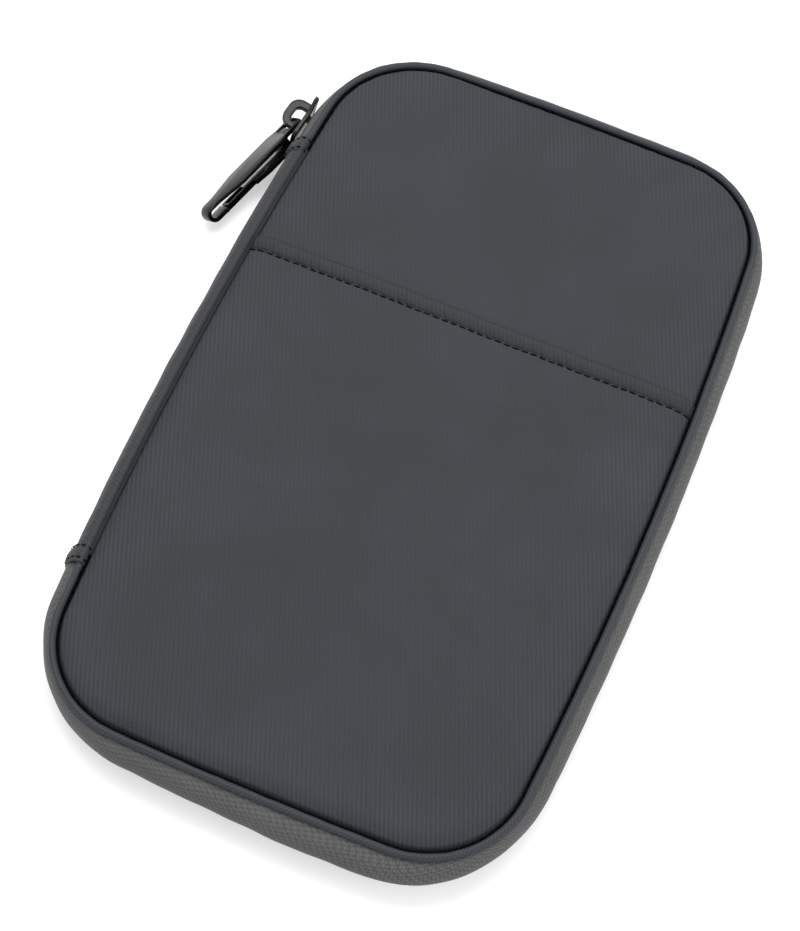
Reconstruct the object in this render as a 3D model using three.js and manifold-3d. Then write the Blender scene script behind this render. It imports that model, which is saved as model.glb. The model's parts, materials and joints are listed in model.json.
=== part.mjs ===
// Zip-around passport holder wallet: two padded covers joined by a fabric spine, closed by a coil
// zip whose slider carries a small snap-hook pull. Millimetres, +Z up. The origin is the centre of
// the face that the wallet rests on; +Y runs along the long side, and the spine is on the -X side.
import * as THREE from "three";
import { mergeVertices } from "three/addons/utils/BufferGeometryUtils.js";
import Module from "manifold-3d";

const wasm = await Module();
wasm.setup();

// ---- Driving dimensions ----------------------------------------------------------------------
// Outline of a cover at its stitched seam: four shallow bows joined by round corners.
const PANEL_HALF_WIDTH = 62.7;
const PANEL_HALF_LENGTH = 105.9;
const SIDE_BOW_RADIUS = 1260;
const END_BOW_RADIUS = 1160;
const PANEL_CORNER_RADIUS = 25.2;

// Heights, counted outwards from the plane in which the zip closes.
const HALF_THICKNESS = 8.8;
const SEAM_HEIGHT = 6.3;
const ZIP_GAP = 0.65;
const LAYER_GAP = 0.25;

// Layers of a cover, from the outside in.
const SKIN = 0.8;
const FRONT_CROWN = 7.4;
const POCKET_SKIN = 0.8;
const HEM_RISE = 0.35;
const LINING_SKIN = 0.5;
const INNER_POCKET_SKIN = 0.4;
const FRONT_FOAM_BASE = 5.2;
const BACK_FOAM_BASE = 5.9;
const FOAM_INSET = 3;
const LINING_INSET = 0.8;
const INNER_POCKET_INSET = 2.2;
const CROWN_RUN_FRONT = 22;
const CROWN_RUN_BACK = 13;

// Front slip pocket.
const POCKET_EDGE_Y = PANEL_HALF_LENGTH / 3;
const POCKET_HEM = 4.5;

// Edges: piping, zip tapes and the spine.
const PIPING_RADIUS = 1.05;
const PIPING_OFFSET = 1.5;
const PIPING_HEIGHT = 6;
const WALL_BULGE = 5.5;
const WALL_CORNER_EXTRA = 4.9;
const TAPE_SKIN = 0.8;
const COIL_DEPTH = 1.4;
const COIL_WIDTH = 1.1;
const COIL_TAPER = 0.85;
const SPINE_LINING_SKIN = 0.5;
const TAB_SKIN = 1.5;
const TAB_LENGTH = 5.5;
const TAB_TO_CORNER = 6.1;

// Inner pockets: how far up each one reaches, as a share of the cover's half length.
const NOTE_POCKET_SHARE = 0.57;
const CARD_POCKET_SHARES = [0.25, 0.1, -0.05];
const TICKET_POCKET_SHARE = 0.66;
const PASSPORT_POCKET_SHARE = 0.32;

// Zip slider and its crown.
const SLIDER_LENGTH = 14;
const SLIDER_HALF_WIDTH = 4.4;
const SLIDER_PLATE = 0.8;
const SLIDER_OUTER_GAP = 1.1;
const SLIDER_INNER_GAP = 3.7;
const SLIDER_INNER_LENGTH = 11;
const SLIDER_INNER_HALF_WIDTH = 1.8;
const SLIDER_ROLL = THREE.MathUtils.degToRad(10);
const SLIDER_START = THREE.MathUtils.degToRad(6.5);
const POST_THICKNESS = 0.6;
const POST_LENGTH = 2.5;
const CROWN_TAIL = -5.4;
const CROWN_NOSE = 4.2;
const CROWN_RISE = 6;
const CROWN_WIRE = 1.2;
const CROWN_WIDTH = 1.4;
const METAL_GAP = 0.1;

// Snap-hook pull: u runs from the eye to the hook, n stands off its front plate.
const PULL_EYE_ALONG = -2.7;
const PULL_EYE_RISE = 2.2;
const PULL_DIRECTION = new THREE.Vector3(-0.3025, -0.947, -0.108).normalize();
const PULL_FACE = new THREE.Vector3(-0.66, 0.09, 0.745);
const PULL_PLATE = 1.2;
const PULL_DEPTH = 3.6;
const PULL_HALF_WIDTH = 3.8;
const PULL_NECK_HALF_WIDTH = 3;
const PULL_HOOK_HALF_WIDTH = 1.8;
const PULL_BEND_U = 35.4;
const PULL_TIP_U = 31.6;
const PULL_WINDOW = { start: 0.6, end: 5.6, halfWidth: 2.2 };
const PULL_BACK = { start: 7.6, end: 20.8, web: 1 };
const GATE = { pivot: 17.5, start: 16.2, halfWidth: 1.5, wall: 0.45, depth: 1.6 };
const GATE_CLEARANCE = 0.3;
const GATE_PIN_RADIUS = 0.4;
const GATE_PIN_CLEARANCE = 0.1;
const SPRING = { start: 9.2, end: 24, thickness: 0.25, halfWidth: 0.7 };

// ---- Finishes --------------------------------------------------------------------------------
const finish = (color, roughness, metalness = 0) => ({ color, roughness, metalness });
const SHELL_FABRIC = finish(0x45494d, 0.62);
const PIPING_FABRIC = finish(0x4a5158, 0.55);
const TAPE_FABRIC = finish(0x4b4f52, 0.7);
const COIL_PLASTIC = finish(0x2b2d30, 0.45);
const LINING_FABRIC = finish(0x3a3e45, 0.75);
const FOAM = finish(0x8d8f92, 0.9);
const GUNMETAL = finish(0x55565a, 0.3, 1);
const SPRING_STEEL = finish(0x9a9ca0, 0.35, 1);

// ---- Solids ----------------------------------------------------------------------------------
const solidOf = (geometry) => {
  const bare = geometry.clone();
  bare.deleteAttribute("normal");
  bare.deleteAttribute("uv");
  const merged = mergeVertices(bare, 1e-4);
  return new wasm.Manifold(
    new wasm.Mesh({
      numProp: 3,
      vertProperties: merged.attributes.position.array,
      triVerts: new Uint32Array(merged.index.array),
    }),
  );
};

const geometryOf = (solid) => {
  const mesh = solid.getMesh();
  const geometry = new THREE.BufferGeometry();
  geometry.setAttribute("position", new THREE.BufferAttribute(mesh.vertProperties, 3));
  geometry.setIndex(new THREE.BufferAttribute(mesh.triVerts, 1));
  geometry.computeVertexNormals();
  return geometry;
};

const surface = (points, faces) => {
  const geometry = new THREE.BufferGeometry();
  geometry.setAttribute("position", new THREE.Float32BufferAttribute(points.flat(), 3));
  geometry.setIndex(faces.flat());
  return geometry;
};

const largest = (solid) =>
  solid.decompose().reduce((best, body) => (body.volume() > best.volume() ? body : best));

const block = (x0, x1, y0, y1, z0, z1) =>
  solidOf(
    new THREE.BoxGeometry(x1 - x0, y1 - y0, z1 - z0).translate(
      (x0 + x1) / 2,
      (y0 + y1) / 2,
      (z0 + z1) / 2,
    ),
  );

const extruded = (points, depth, frame) => {
  const shape = new THREE.Shape(points.map(([a, b]) => new THREE.Vector2(a, b)));
  const geometry = new THREE.ExtrudeGeometry(shape, { depth, bevelEnabled: false });
  geometry.translate(0, 0, -depth / 2);
  return solidOf(geometry.applyMatrix4(frame));
};

const arcPoints = (x, y, radius, from, to, steps) =>
  Array.from({ length: steps + 1 }, (_, i) => {
    const angle = from + ((to - from) * i) / steps;
    return [x + radius * Math.cos(angle), y + radius * Math.sin(angle)];
  });

// ---- Outlines --------------------------------------------------------------------------------
const CORNER_STEPS = 9;
const SIDE_STEPS = 4;

// Centre of the corner arc of the outline that stands off the seam by `offset`.
const cornerOf = (offset, extra = 0) => {
  const halfWidth = PANEL_HALF_WIDTH + offset;
  const halfLength = PANEL_HALF_LENGTH + offset;
  const sideRadius = SIDE_BOW_RADIUS + offset;
  const endRadius = END_BOW_RADIUS + offset;
  const radius = PANEL_CORNER_RADIUS + offset + extra;
  const side = new THREE.Vector2(halfWidth - sideRadius, 0);
  const end = new THREE.Vector2(0, halfLength - endRadius);
  const between = end.clone().sub(side);
  const span = between.length();
  const a = sideRadius - radius;
  const b = endRadius - radius;
  const along = (a * a - b * b + span * span) / (2 * span);
  const across = Math.sqrt(a * a - along * along);
  const unit = between.normalize();
  const x = side.x + unit.x * along - unit.y * across;
  const y = side.y + unit.y * along + unit.x * across;
  const sideAngle = Math.atan2(y, x - side.x);
  const endAngle = Math.atan2(y - end.y, x);
  return { x, y, radius, side, end, sideRadius, endRadius, sideAngle, endAngle };
};

// Closed outline, anticlockwise from the middle of the +X side.
const outline = (offset, extra = 0) => {
  const c = cornerOf(offset, extra);
  const quarter = [
    ...arcPoints(c.side.x, 0, c.sideRadius, 0, c.sideAngle, SIDE_STEPS),
    ...arcPoints(c.x, c.y, c.radius, c.sideAngle, c.endAngle, CORNER_STEPS).slice(1),
    ...arcPoints(0, c.end.y, c.endRadius, c.endAngle, Math.PI / 2, SIDE_STEPS - 1).slice(1),
  ];
  const half = [...quarter, ...quarter.slice(0, -1).map(([x, y]) => [-x, y]).reverse()];
  const lower = half.slice(1, -1).map(([x, y]) => [x, -y]).reverse();
  return [...half, ...lower];
};

const loopAt = ([offset, height, extra = 0], side) =>
  outline(offset, extra).map(([x, y]) => [x, y, HALF_THICKNESS + side * height]);

const bandFaces = (lower, upper, count) =>
  Array.from({ length: count }, (_, i) => {
    const j = (i + 1) % count;
    return [lower + i, lower + j, upper + j, lower + i, upper + j, upper + i];
  }).flat();

// A closed section of [offset, height, added corner radius] points carried round the outline.
const ring = (section, side) => {
  const turned = side > 0 ? section : [...section].reverse();
  const loops = turned.map((point) => loopAt(point, side));
  const count = loops[0].length;
  const faces = loops.map((_, k) =>
    bandFaces(k * count, ((k + 1) % loops.length) * count, count),
  );
  return solidOf(surface(loops.flat(), faces));
};

// Stacked outlines, closed by a flat face at each end; levels run inside to outside.
const stack = (levels, side) => {
  const turned = side > 0 ? levels : [...levels].reverse();
  const loops = turned.map((point) => loopAt(point, side));
  const count = loops[0].length;
  const points = loops.flat();
  const faces = [];
  for (let k = 0; k + 1 < loops.length; k += 1) {
    faces.push(bandFaces(k * count, (k + 1) * count, count));
  }
  const last = (loops.length - 1) * count;
  for (let i = 1; i + 1 < count; i += 1) {
    faces.push([0, i + 1, i]);
    faces.push([last, last + i, last + i + 1]);
  }
  return solidOf(surface(points, faces));
};

// ---- Cover layers ----------------------------------------------------------------------------
const CROWN_INSETS = [0.3, 1.5, 4.5, 10];
const EDGE_INSET = 0.1;

// Height of a cover's outer surface at a distance in from the seam.
const crownHeight = (inset, crown, run) => {
  const left = Math.max(0, 1 - inset / run);
  return SEAM_HEIGHT + (crown - SEAM_HEIGHT) * (1 - left ** 2.6);
};

const domed = (crown, run, thickness, raise = 0) => {
  const insets = [...CROWN_INSETS, run];
  const level = (inset, drop) => [-inset, crownHeight(inset, crown, run) + raise - drop];
  return [
    ...insets.map((inset) => level(inset, thickness)).reverse(),
    [-EDGE_INSET, SEAM_HEIGHT + raise - thickness * 0.7],
    [-EDGE_INSET, SEAM_HEIGHT + raise - thickness * 0.1],
    ...insets.map((inset) => level(inset, 0)),
  ];
};

const flatLayer = (inset, base, thickness) => [
  [-inset, base],
  [-inset, base + thickness],
];

const foamLevels = (crown, run, base) => {
  const insets = [FOAM_INSET, 6, 10, run];
  const top = insets.map((inset) => [
    -inset,
    crownHeight(inset, crown, run) - SKIN - LAYER_GAP,
  ]);
  return [[-FOAM_INSET, base], ...top];
};

const reach = PANEL_HALF_LENGTH + 20;
const below = (y) => block(-reach, reach, -reach, y, -reach, reach);
const between = (y0, y1) => block(-reach, reach, y0, y1, -reach, reach);

const liningHeight = (foamBase) => foamBase - LAYER_GAP - LINING_SKIN;
const pocketHeight = (foamBase, rank) =>
  liningHeight(foamBase) - rank * (INNER_POCKET_SKIN + LAYER_GAP);

const innerPocket = (foamBase, rank, share, side) =>
  stack(
    flatLayer(INNER_POCKET_INSET, pocketHeight(foamBase, rank), INNER_POCKET_SKIN),
    side,
  ).intersect(below(PANEL_HALF_LENGTH * share));

// The pocket's top edge is folded over, which makes it thicker along the hem.
const slipPocket = () => {
  const raise = POCKET_SKIN + LAYER_GAP;
  const panel = stack(domed(FRONT_CROWN, CROWN_RUN_FRONT, POCKET_SKIN, raise), 1);
  const folded = domed(FRONT_CROWN, CROWN_RUN_FRONT, POCKET_SKIN + HEM_RISE, raise + HEM_RISE);
  const hem = stack(folded, 1).intersect(between(POCKET_EDGE_Y - POCKET_HEM, POCKET_EDGE_Y));
  return largest(panel.intersect(below(POCKET_EDGE_Y - POCKET_HEM)).add(hem));
};

// ---- Edges -----------------------------------------------------------------------------------
const pipingSection = arcPoints(
  PIPING_OFFSET,
  PIPING_HEIGHT,
  PIPING_RADIUS,
  0,
  2 * Math.PI,
  8,
).slice(1);

// Outer line of the wall from the piping down to the zip. Its corners are rounder the further
// the wall stands out.
const WALL_TOP = PIPING_HEIGHT - PIPING_RADIUS - LAYER_GAP;
const wallPoint = (share, height) => {
  const foot = PIPING_OFFSET + 0.8;
  return [foot + (WALL_BULGE - foot) * share, height, WALL_CORNER_EXTRA * share];
};
const wallLine = [
  wallPoint(0, WALL_TOP),
  wallPoint(0.47, WALL_TOP * 0.72),
  wallPoint(0.86, WALL_TOP * 0.36),
  wallPoint(1, ZIP_GAP),
];

// The same line shifted inwards along its normals.
const insetLine = (line, distance) =>
  line.map(([x, y, extra], i) => {
    const [ax, ay] = line[Math.max(0, i - 1)];
    const [bx, by] = line[Math.min(line.length - 1, i + 1)];
    const length = Math.hypot(bx - ax, by - ay);
    const flat = i === line.length - 1 ? 0 : (distance * (bx - ax)) / length;
    return [x + (distance * (by - ay)) / length, y - flat, extra];
  });

const tapeSection = [...wallLine].reverse().concat(insetLine(wallLine, TAPE_SKIN));

const coilOuter = WALL_BULGE - TAPE_SKIN - LAYER_GAP;
const coilSection = [
  [coilOuter, ZIP_GAP, WALL_CORNER_EXTRA],
  [coilOuter - COIL_TAPER, ZIP_GAP + COIL_WIDTH, WALL_CORNER_EXTRA],
  [coilOuter - COIL_DEPTH, ZIP_GAP + COIL_WIDTH, WALL_CORNER_EXTRA],
  [coilOuter - COIL_DEPTH, ZIP_GAP, WALL_CORNER_EXTRA],
];

// A shell of the wall's full height, from one piping to the other.
const fullWall = (grow, thickness) => {
  const shifted = insetLine(wallLine, -grow);
  const outer = [...shifted, ...shifted.map(([x, y, extra]) => [x, -y, extra]).reverse()];
  const inner = insetLine(shifted, thickness);
  const innerAll = [...inner, ...inner.map(([x, y, extra]) => [x, -y, extra]).reverse()];
  return ring([...outer].reverse().concat(innerAll), 1);
};

// The spine's tabs end a little before the zip turns into its corner.
const ZIP_OFFSET = WALL_BULGE - TAPE_SKIN / 2;
const zipCorner = cornerOf(ZIP_OFFSET, WALL_CORNER_EXTRA);
const TAB_END_Y = zipCorner.y - TAB_TO_CORNER;
const spineRange = (y0, y1) => block(-reach, -PANEL_HALF_WIDTH / 2, y0, y1, -reach, reach);
const STRIP_END_Y = TAB_END_Y - TAB_LENGTH - LAYER_GAP;
const tab = (sign) => {
  const ends = [sign * (TAB_END_Y - TAB_LENGTH), sign * TAB_END_Y].sort((a, b) => a - b);
  return fullWall(TAB_SKIN - TAPE_SKIN - 0.3, TAB_SKIN).intersect(spineRange(...ends));
};
const zipRange = spineRange(-TAB_END_Y - LAYER_GAP, TAB_END_Y + LAYER_GAP);

// ---- Slider ----------------------------------------------------------------------------------
const along = new THREE.Vector3(Math.sin(SLIDER_START), Math.cos(SLIDER_START), 0);
const outward = new THREE.Vector3(-Math.cos(SLIDER_START), Math.sin(SLIDER_START), 0);
const upward = new THREE.Vector3(0, 0, 1);
const sliderCentre = new THREE.Vector3(-zipCorner.x, zipCorner.y, HALF_THICKNESS).addScaledVector(
  outward,
  zipCorner.radius,
);
const rolledOut = outward
  .clone()
  .multiplyScalar(Math.cos(SLIDER_ROLL))
  .addScaledVector(upward, Math.sin(SLIDER_ROLL));
const rolledUp = along.clone().cross(rolledOut);

const frameOf = (x, y, z, origin) => new THREE.Matrix4().makeBasis(x, y, z).setPosition(origin);
const at = (origin, ...steps) =>
  steps.reduce((point, [axis, distance]) => point.addScaledVector(axis, distance), origin.clone());

// Extrusions across the slider: the shape lies along the zip and across it, or is seen side on.
const platePlane = (rise) =>
  frameOf(along, rolledUp.clone().negate(), rolledOut, at(sliderCentre, [rolledOut, rise]));
const sidePlane = frameOf(along, rolledOut, rolledUp, sliderCentre);
const postPlane = frameOf(along, outward, upward, sliderCentre);

const plateShape = (length, halfWidth) => {
  const half = length / 2;
  const blunt = halfWidth * 0.45;
  return [
    [-half, -blunt],
    [-half + 1.6, -halfWidth * 0.92],
    [-half + 4, -halfWidth],
    [half - 4, -halfWidth * 0.86],
    [half - 1, -halfWidth * 0.62],
    [half, -blunt * 0.7],
    [half, blunt * 0.7],
    [half - 1, halfWidth * 0.62],
    [half - 4, halfWidth * 0.86],
    [-half + 4, halfWidth],
    [-half + 1.6, halfWidth * 0.92],
    [-half, blunt],
  ];
};

const sliderBody = () => {
  const outerRise = SLIDER_OUTER_GAP + SLIDER_PLATE / 2;
  const outer = extruded(
    plateShape(SLIDER_LENGTH, SLIDER_HALF_WIDTH),
    SLIDER_PLATE,
    platePlane(outerRise),
  );
  const innerRise = -SLIDER_INNER_GAP - SLIDER_PLATE / 2;
  const inner = extruded(
    plateShape(SLIDER_INNER_LENGTH, SLIDER_INNER_HALF_WIDTH),
    SLIDER_PLATE,
    platePlane(innerRise),
  );
  const tail = -SLIDER_INNER_LENGTH / 2 + 0.6;
  const low = -SLIDER_INNER_GAP - SLIDER_PLATE / 2;
  const high = SLIDER_OUTER_GAP + SLIDER_PLATE / 2;
  const post = extruded(
    [
      [tail, low],
      [tail + POST_LENGTH, low],
      [tail + POST_LENGTH, high],
      [tail, high],
    ],
    POST_THICKNESS,
    postPlane,
  );
  return outer.add(inner).add(post);
};

const crownFoot = SLIDER_OUTER_GAP + SLIDER_PLATE + METAL_GAP;
const archPoints = (grow) => {
  const top = crownFoot + CROWN_RISE + grow - CROWN_WIRE;
  const tail = CROWN_TAIL + CROWN_WIRE - grow;
  const nose = CROWN_NOSE - CROWN_WIRE + grow;
  const radius = 2.2 + grow;
  return [
    ...arcPoints(nose - radius, top - radius, radius, 0, Math.PI / 2, 5),
    ...arcPoints(tail + radius, top - radius, radius, Math.PI / 2, Math.PI, 5),
  ];
};

const sliderCrown = () => {
  const outer = archPoints(CROWN_WIRE);
  const inner = archPoints(0);
  const points = [
    [CROWN_NOSE, crownFoot],
    ...outer,
    [CROWN_TAIL, crownFoot],
    [CROWN_TAIL + CROWN_WIRE, crownFoot],
    ...[...inner].reverse(),
    [CROWN_NOSE - CROWN_WIRE, crownFoot],
  ];
  return extruded(points, CROWN_WIDTH, sidePlane);
};

const notchSize = [SLIDER_LENGTH - 0.6, WALL_BULGE * 2 + 2, 2 * (SLIDER_HALF_WIDTH - 0.9)];
const sliderNotch = solidOf(
  new THREE.BoxGeometry(...notchSize).applyMatrix4(
    frameOf(along, outward, upward, at(sliderCentre, [outward, -2])),
  ),
);

const zipTape = (side) => ring(tapeSection, side).subtract(zipRange).subtract(sliderNotch);
const zipCoil = (side) =>
  largest(ring(coilSection, side).subtract(zipRange).subtract(sliderNotch));

// ---- Pull ------------------------------------------------------------------------------------
const pullFace = PULL_FACE.clone()
  .addScaledVector(PULL_DIRECTION, -PULL_FACE.dot(PULL_DIRECTION))
  .normalize();
const pullAcross = pullFace.clone().cross(PULL_DIRECTION);
const pullEye = at(
  sliderCentre,
  [along, PULL_EYE_ALONG],
  [rolledOut, SLIDER_OUTER_GAP + SLIDER_PLATE + PULL_EYE_RISE],
);
// Side view: u along the pull, n off its face. Plan view: u along it, w across it.
const pullSide = frameOf(PULL_DIRECTION, pullFace, pullAcross.clone().negate(), pullEye);
const pullPlan = frameOf(PULL_DIRECTION, pullAcross, pullFace, pullEye);

const WIDE = 3 * PULL_HALF_WIDTH;
const rectangle = (u0, u1, v0, v1) => [
  [u0, v0],
  [u1, v0],
  [u1, v1],
  [u0, v1],
];
const pullBar = (u0, u1, n0, n1, halfWidth) =>
  extruded(rectangle(u0, u1, n0, n1), 2 * halfWidth, pullSide);

const symmetric = (line) => [...line.map(([u, w]) => [u, -w]), ...[...line].reverse()];

const pullHook = () => {
  const half = PULL_PLATE / 2;
  const bendRadius = PULL_DEPTH / 2;
  const hookLine = [
    [-half - 0.1, half],
    [-half - 0.1, -half],
    [PULL_BEND_U, -half],
    ...arcPoints(
      PULL_BEND_U,
      -bendRadius,
      bendRadius - half,
      Math.PI / 2,
      -Math.PI / 2,
      8,
    ).slice(1),
    [PULL_TIP_U, -PULL_DEPTH + half],
    [PULL_TIP_U, -PULL_DEPTH - half],
    ...arcPoints(
      PULL_BEND_U,
      -bendRadius,
      bendRadius + half,
      -Math.PI / 2,
      Math.PI / 2,
      10,
    ),
  ].reverse();
  const taperEnd = PULL_TIP_U + 1;
  const hookPlan = symmetric([
    [-half - 0.1, PULL_NECK_HALF_WIDTH - 0.6],
    [0.2, PULL_NECK_HALF_WIDTH],
    [5.4, PULL_NECK_HALF_WIDTH],
    [8.6, PULL_HALF_WIDTH],
    [23.8, PULL_HALF_WIDTH],
    [taperEnd, PULL_HOOK_HALF_WIDTH + 0.1],
    [PULL_BEND_U + PULL_DEPTH, PULL_HOOK_HALF_WIDTH],
  ]);
  const hook = extruded(hookLine, WIDE, pullSide).intersect(
    extruded(hookPlan, 4 * PULL_DEPTH, pullPlan),
  );
  const backPlan = symmetric([
    [PULL_BACK.start, PULL_NECK_HALF_WIDTH + 0.6],
    [PULL_BACK.start + 2.4, PULL_HALF_WIDTH - 0.1],
    [PULL_BACK.end - 5.2, PULL_HALF_WIDTH - 0.1],
    [PULL_BACK.end, 2.7],
  ]);
  const backLine = [
    [PULL_BACK.start, -half / 2],
    [PULL_BACK.start, -PULL_DEPTH - half],
    [PULL_BACK.end, -PULL_DEPTH - half],
    [PULL_BACK.end, -PULL_DEPTH + half],
    [PULL_BACK.start + PULL_BACK.web, -PULL_DEPTH + half],
    [PULL_BACK.start + PULL_BACK.web, -half / 2],
  ];
  const back = extruded(backLine, WIDE, pullSide).intersect(
    extruded(backPlan, 4 * PULL_DEPTH, pullPlan),
  );
  const window = pullBar(
    PULL_WINDOW.start,
    PULL_WINDOW.end,
    -PULL_PLATE,
    PULL_PLATE,
    PULL_WINDOW.halfWidth,
  );
  const slot = pullBar(
    GATE.start - GATE_CLEARANCE,
    PULL_BACK.end + 1,
    -PULL_DEPTH - PULL_PLATE,
    -PULL_DEPTH + PULL_PLATE,
    GATE.halfWidth + GATE_CLEARANCE,
  );
  return hook.add(back).subtract(window).subtract(slot).subtract(gatePinSolid(METAL_GAP));
};

const gatePinSolid = (grow) => {
  const length = 2 * (PULL_HOOK_HALF_WIDTH + 1) + 2 * grow;
  const radius = GATE_PIN_RADIUS + grow;
  const circle = arcPoints(GATE.pivot, -PULL_DEPTH, radius, 0, 2 * Math.PI, 12).slice(1);
  return extruded(circle, length, pullSide);
};

const hookGate = () => {
  const outerN = -PULL_DEPTH - GATE.depth / 2;
  const innerN = -PULL_DEPTH + GATE.depth / 2;
  const end = PULL_TIP_U - GATE_CLEARANCE;
  const bar = pullBar(GATE.start, end, outerN, innerN, GATE.halfWidth);
  const channel = pullBar(
    GATE.start - 1,
    end - GATE.wall * 2,
    outerN + GATE.wall,
    innerN + 1,
    GATE.halfWidth - GATE.wall,
  );
  return bar.subtract(channel).subtract(gatePinSolid(GATE_PIN_CLEARANCE));
};

const gateSpring = () => {
  const base = -PULL_DEPTH + PULL_PLATE / 2 + METAL_GAP;
  return pullBar(
    SPRING.start,
    SPRING.end,
    base,
    base + SPRING.thickness,
    SPRING.halfWidth,
  );
};

// ---- Assembly --------------------------------------------------------------------------------
const wallet = new THREE.Group();
const addPiece = (group, name, solid, look) => {
  const mesh = new THREE.Mesh(geometryOf(solid), new THREE.MeshStandardMaterial(look));
  mesh.name = name;
  group.add(mesh);
};

const frontCover = new THREE.Group();
const backCover = new THREE.Group();
const spine = new THREE.Group();
const zipSlider = new THREE.Group();
wallet.add(frontCover, backCover, spine, zipSlider);

const frontSkin = stack(domed(FRONT_CROWN, CROWN_RUN_FRONT, SKIN), 1);
const backSkin = stack(domed(HALF_THICKNESS, CROWN_RUN_BACK, SKIN), -1);
const frontFoam = stack(foamLevels(FRONT_CROWN, CROWN_RUN_FRONT, FRONT_FOAM_BASE), 1);
const backFoam = stack(foamLevels(HALF_THICKNESS, CROWN_RUN_BACK, BACK_FOAM_BASE), -1);
const lining = (foamBase, side) =>
  stack(flatLayer(LINING_INSET, liningHeight(foamBase), LINING_SKIN), side);

addPiece(frontCover, "front_panel", frontSkin, SHELL_FABRIC);
addPiece(frontCover, "front_slip_pocket", slipPocket(), SHELL_FABRIC);
addPiece(frontCover, "front_foam", frontFoam, FOAM);
addPiece(frontCover, "front_lining", lining(FRONT_FOAM_BASE, 1), LINING_FABRIC);
addPiece(frontCover, "front_piping", ring(pipingSection, 1), PIPING_FABRIC);
addPiece(frontCover, "front_zip_tape", zipTape(1), TAPE_FABRIC);
addPiece(frontCover, "front_zip_coil", zipCoil(1), COIL_PLASTIC);
addPiece(frontCover, "note_pocket", innerPocket(FRONT_FOAM_BASE, 1, NOTE_POCKET_SHARE, 1), LINING_FABRIC);
["upper", "middle", "lower"].forEach((place, i) => {
  const solid = innerPocket(FRONT_FOAM_BASE, i + 2, CARD_POCKET_SHARES[i], 1);
  addPiece(frontCover, `card_pocket_${place}`, solid, LINING_FABRIC);
});

addPiece(backCover, "back_panel", backSkin, SHELL_FABRIC);
addPiece(backCover, "back_foam", backFoam, FOAM);
addPiece(backCover, "back_lining", lining(BACK_FOAM_BASE, -1), LINING_FABRIC);
addPiece(backCover, "back_piping", ring(pipingSection, -1), PIPING_FABRIC);
addPiece(backCover, "back_zip_tape", zipTape(-1), TAPE_FABRIC);
addPiece(backCover, "back_zip_coil", zipCoil(-1), COIL_PLASTIC);
addPiece(backCover, "ticket_pocket", innerPocket(BACK_FOAM_BASE, 1, TICKET_POCKET_SHARE, -1), LINING_FABRIC);
const passportPocket = innerPocket(BACK_FOAM_BASE, 2, PASSPORT_POCKET_SHARE, -1);
addPiece(backCover, "passport_pocket", passportPocket, LINING_FABRIC);

const stripRange = spineRange(-STRIP_END_Y, STRIP_END_Y);
const spineStrip = fullWall(0, TAPE_SKIN).intersect(stripRange);
const liningGrow = -(TAPE_SKIN + LAYER_GAP);
const spineLining = fullWall(liningGrow, SPINE_LINING_SKIN).intersect(stripRange);
addPiece(spine, "spine_gusset", spineStrip, SHELL_FABRIC);
addPiece(spine, "spine_lining", spineLining, LINING_FABRIC);
addPiece(spine, "spine_tab_top", tab(1), SHELL_FABRIC);
addPiece(spine, "spine_tab_bottom", tab(-1), SHELL_FABRIC);

addPiece(zipSlider, "slider_body", sliderBody(), GUNMETAL);
addPiece(zipSlider, "slider_crown", sliderCrown(), GUNMETAL);
addPiece(zipSlider, "pull_hook", pullHook(), GUNMETAL);
addPiece(zipSlider, "hook_gate", hookGate(), GUNMETAL);
addPiece(zipSlider, "gate_pin", gatePinSolid(0), GUNMETAL);
addPiece(zipSlider, "gate_spring", gateSpring(), SPRING_STEEL);

export default wallet;
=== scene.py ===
import json
import math

import bmesh
import bpy
import numpy as np
from mathutils import Matrix, Vector
from mathutils.bvhtree import BVHTree


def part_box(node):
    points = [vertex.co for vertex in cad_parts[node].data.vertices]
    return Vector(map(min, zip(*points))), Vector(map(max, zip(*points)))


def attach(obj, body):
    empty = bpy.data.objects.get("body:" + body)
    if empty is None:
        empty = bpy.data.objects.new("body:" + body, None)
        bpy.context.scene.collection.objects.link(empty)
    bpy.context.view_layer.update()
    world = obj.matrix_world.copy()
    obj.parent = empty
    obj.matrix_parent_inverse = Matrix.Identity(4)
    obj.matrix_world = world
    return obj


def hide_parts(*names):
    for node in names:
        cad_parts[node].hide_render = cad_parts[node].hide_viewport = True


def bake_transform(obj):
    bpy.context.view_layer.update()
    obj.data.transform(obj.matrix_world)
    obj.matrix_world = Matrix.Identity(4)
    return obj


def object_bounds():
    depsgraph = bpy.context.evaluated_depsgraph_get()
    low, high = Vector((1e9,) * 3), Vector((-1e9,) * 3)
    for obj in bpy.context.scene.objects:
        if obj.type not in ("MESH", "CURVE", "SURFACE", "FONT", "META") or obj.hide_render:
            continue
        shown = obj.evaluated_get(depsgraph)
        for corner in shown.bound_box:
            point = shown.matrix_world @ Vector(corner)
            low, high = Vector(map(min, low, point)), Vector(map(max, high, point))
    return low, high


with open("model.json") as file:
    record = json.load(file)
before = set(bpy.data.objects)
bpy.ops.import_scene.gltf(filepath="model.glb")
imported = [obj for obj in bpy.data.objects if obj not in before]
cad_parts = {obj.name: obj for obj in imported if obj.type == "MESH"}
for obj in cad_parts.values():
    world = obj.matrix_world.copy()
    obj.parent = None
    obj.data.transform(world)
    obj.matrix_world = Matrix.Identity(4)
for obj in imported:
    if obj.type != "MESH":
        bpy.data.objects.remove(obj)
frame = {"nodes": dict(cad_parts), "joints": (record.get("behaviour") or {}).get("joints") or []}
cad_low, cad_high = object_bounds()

# ---- Front cover ------------------------------------------------------------------------------
# A foam board wrapped in coated charcoal twill and sewn down all round. The cloth rolls over the
# board's edge into the seam beside the piping, and swells a little between its stitches.

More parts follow.
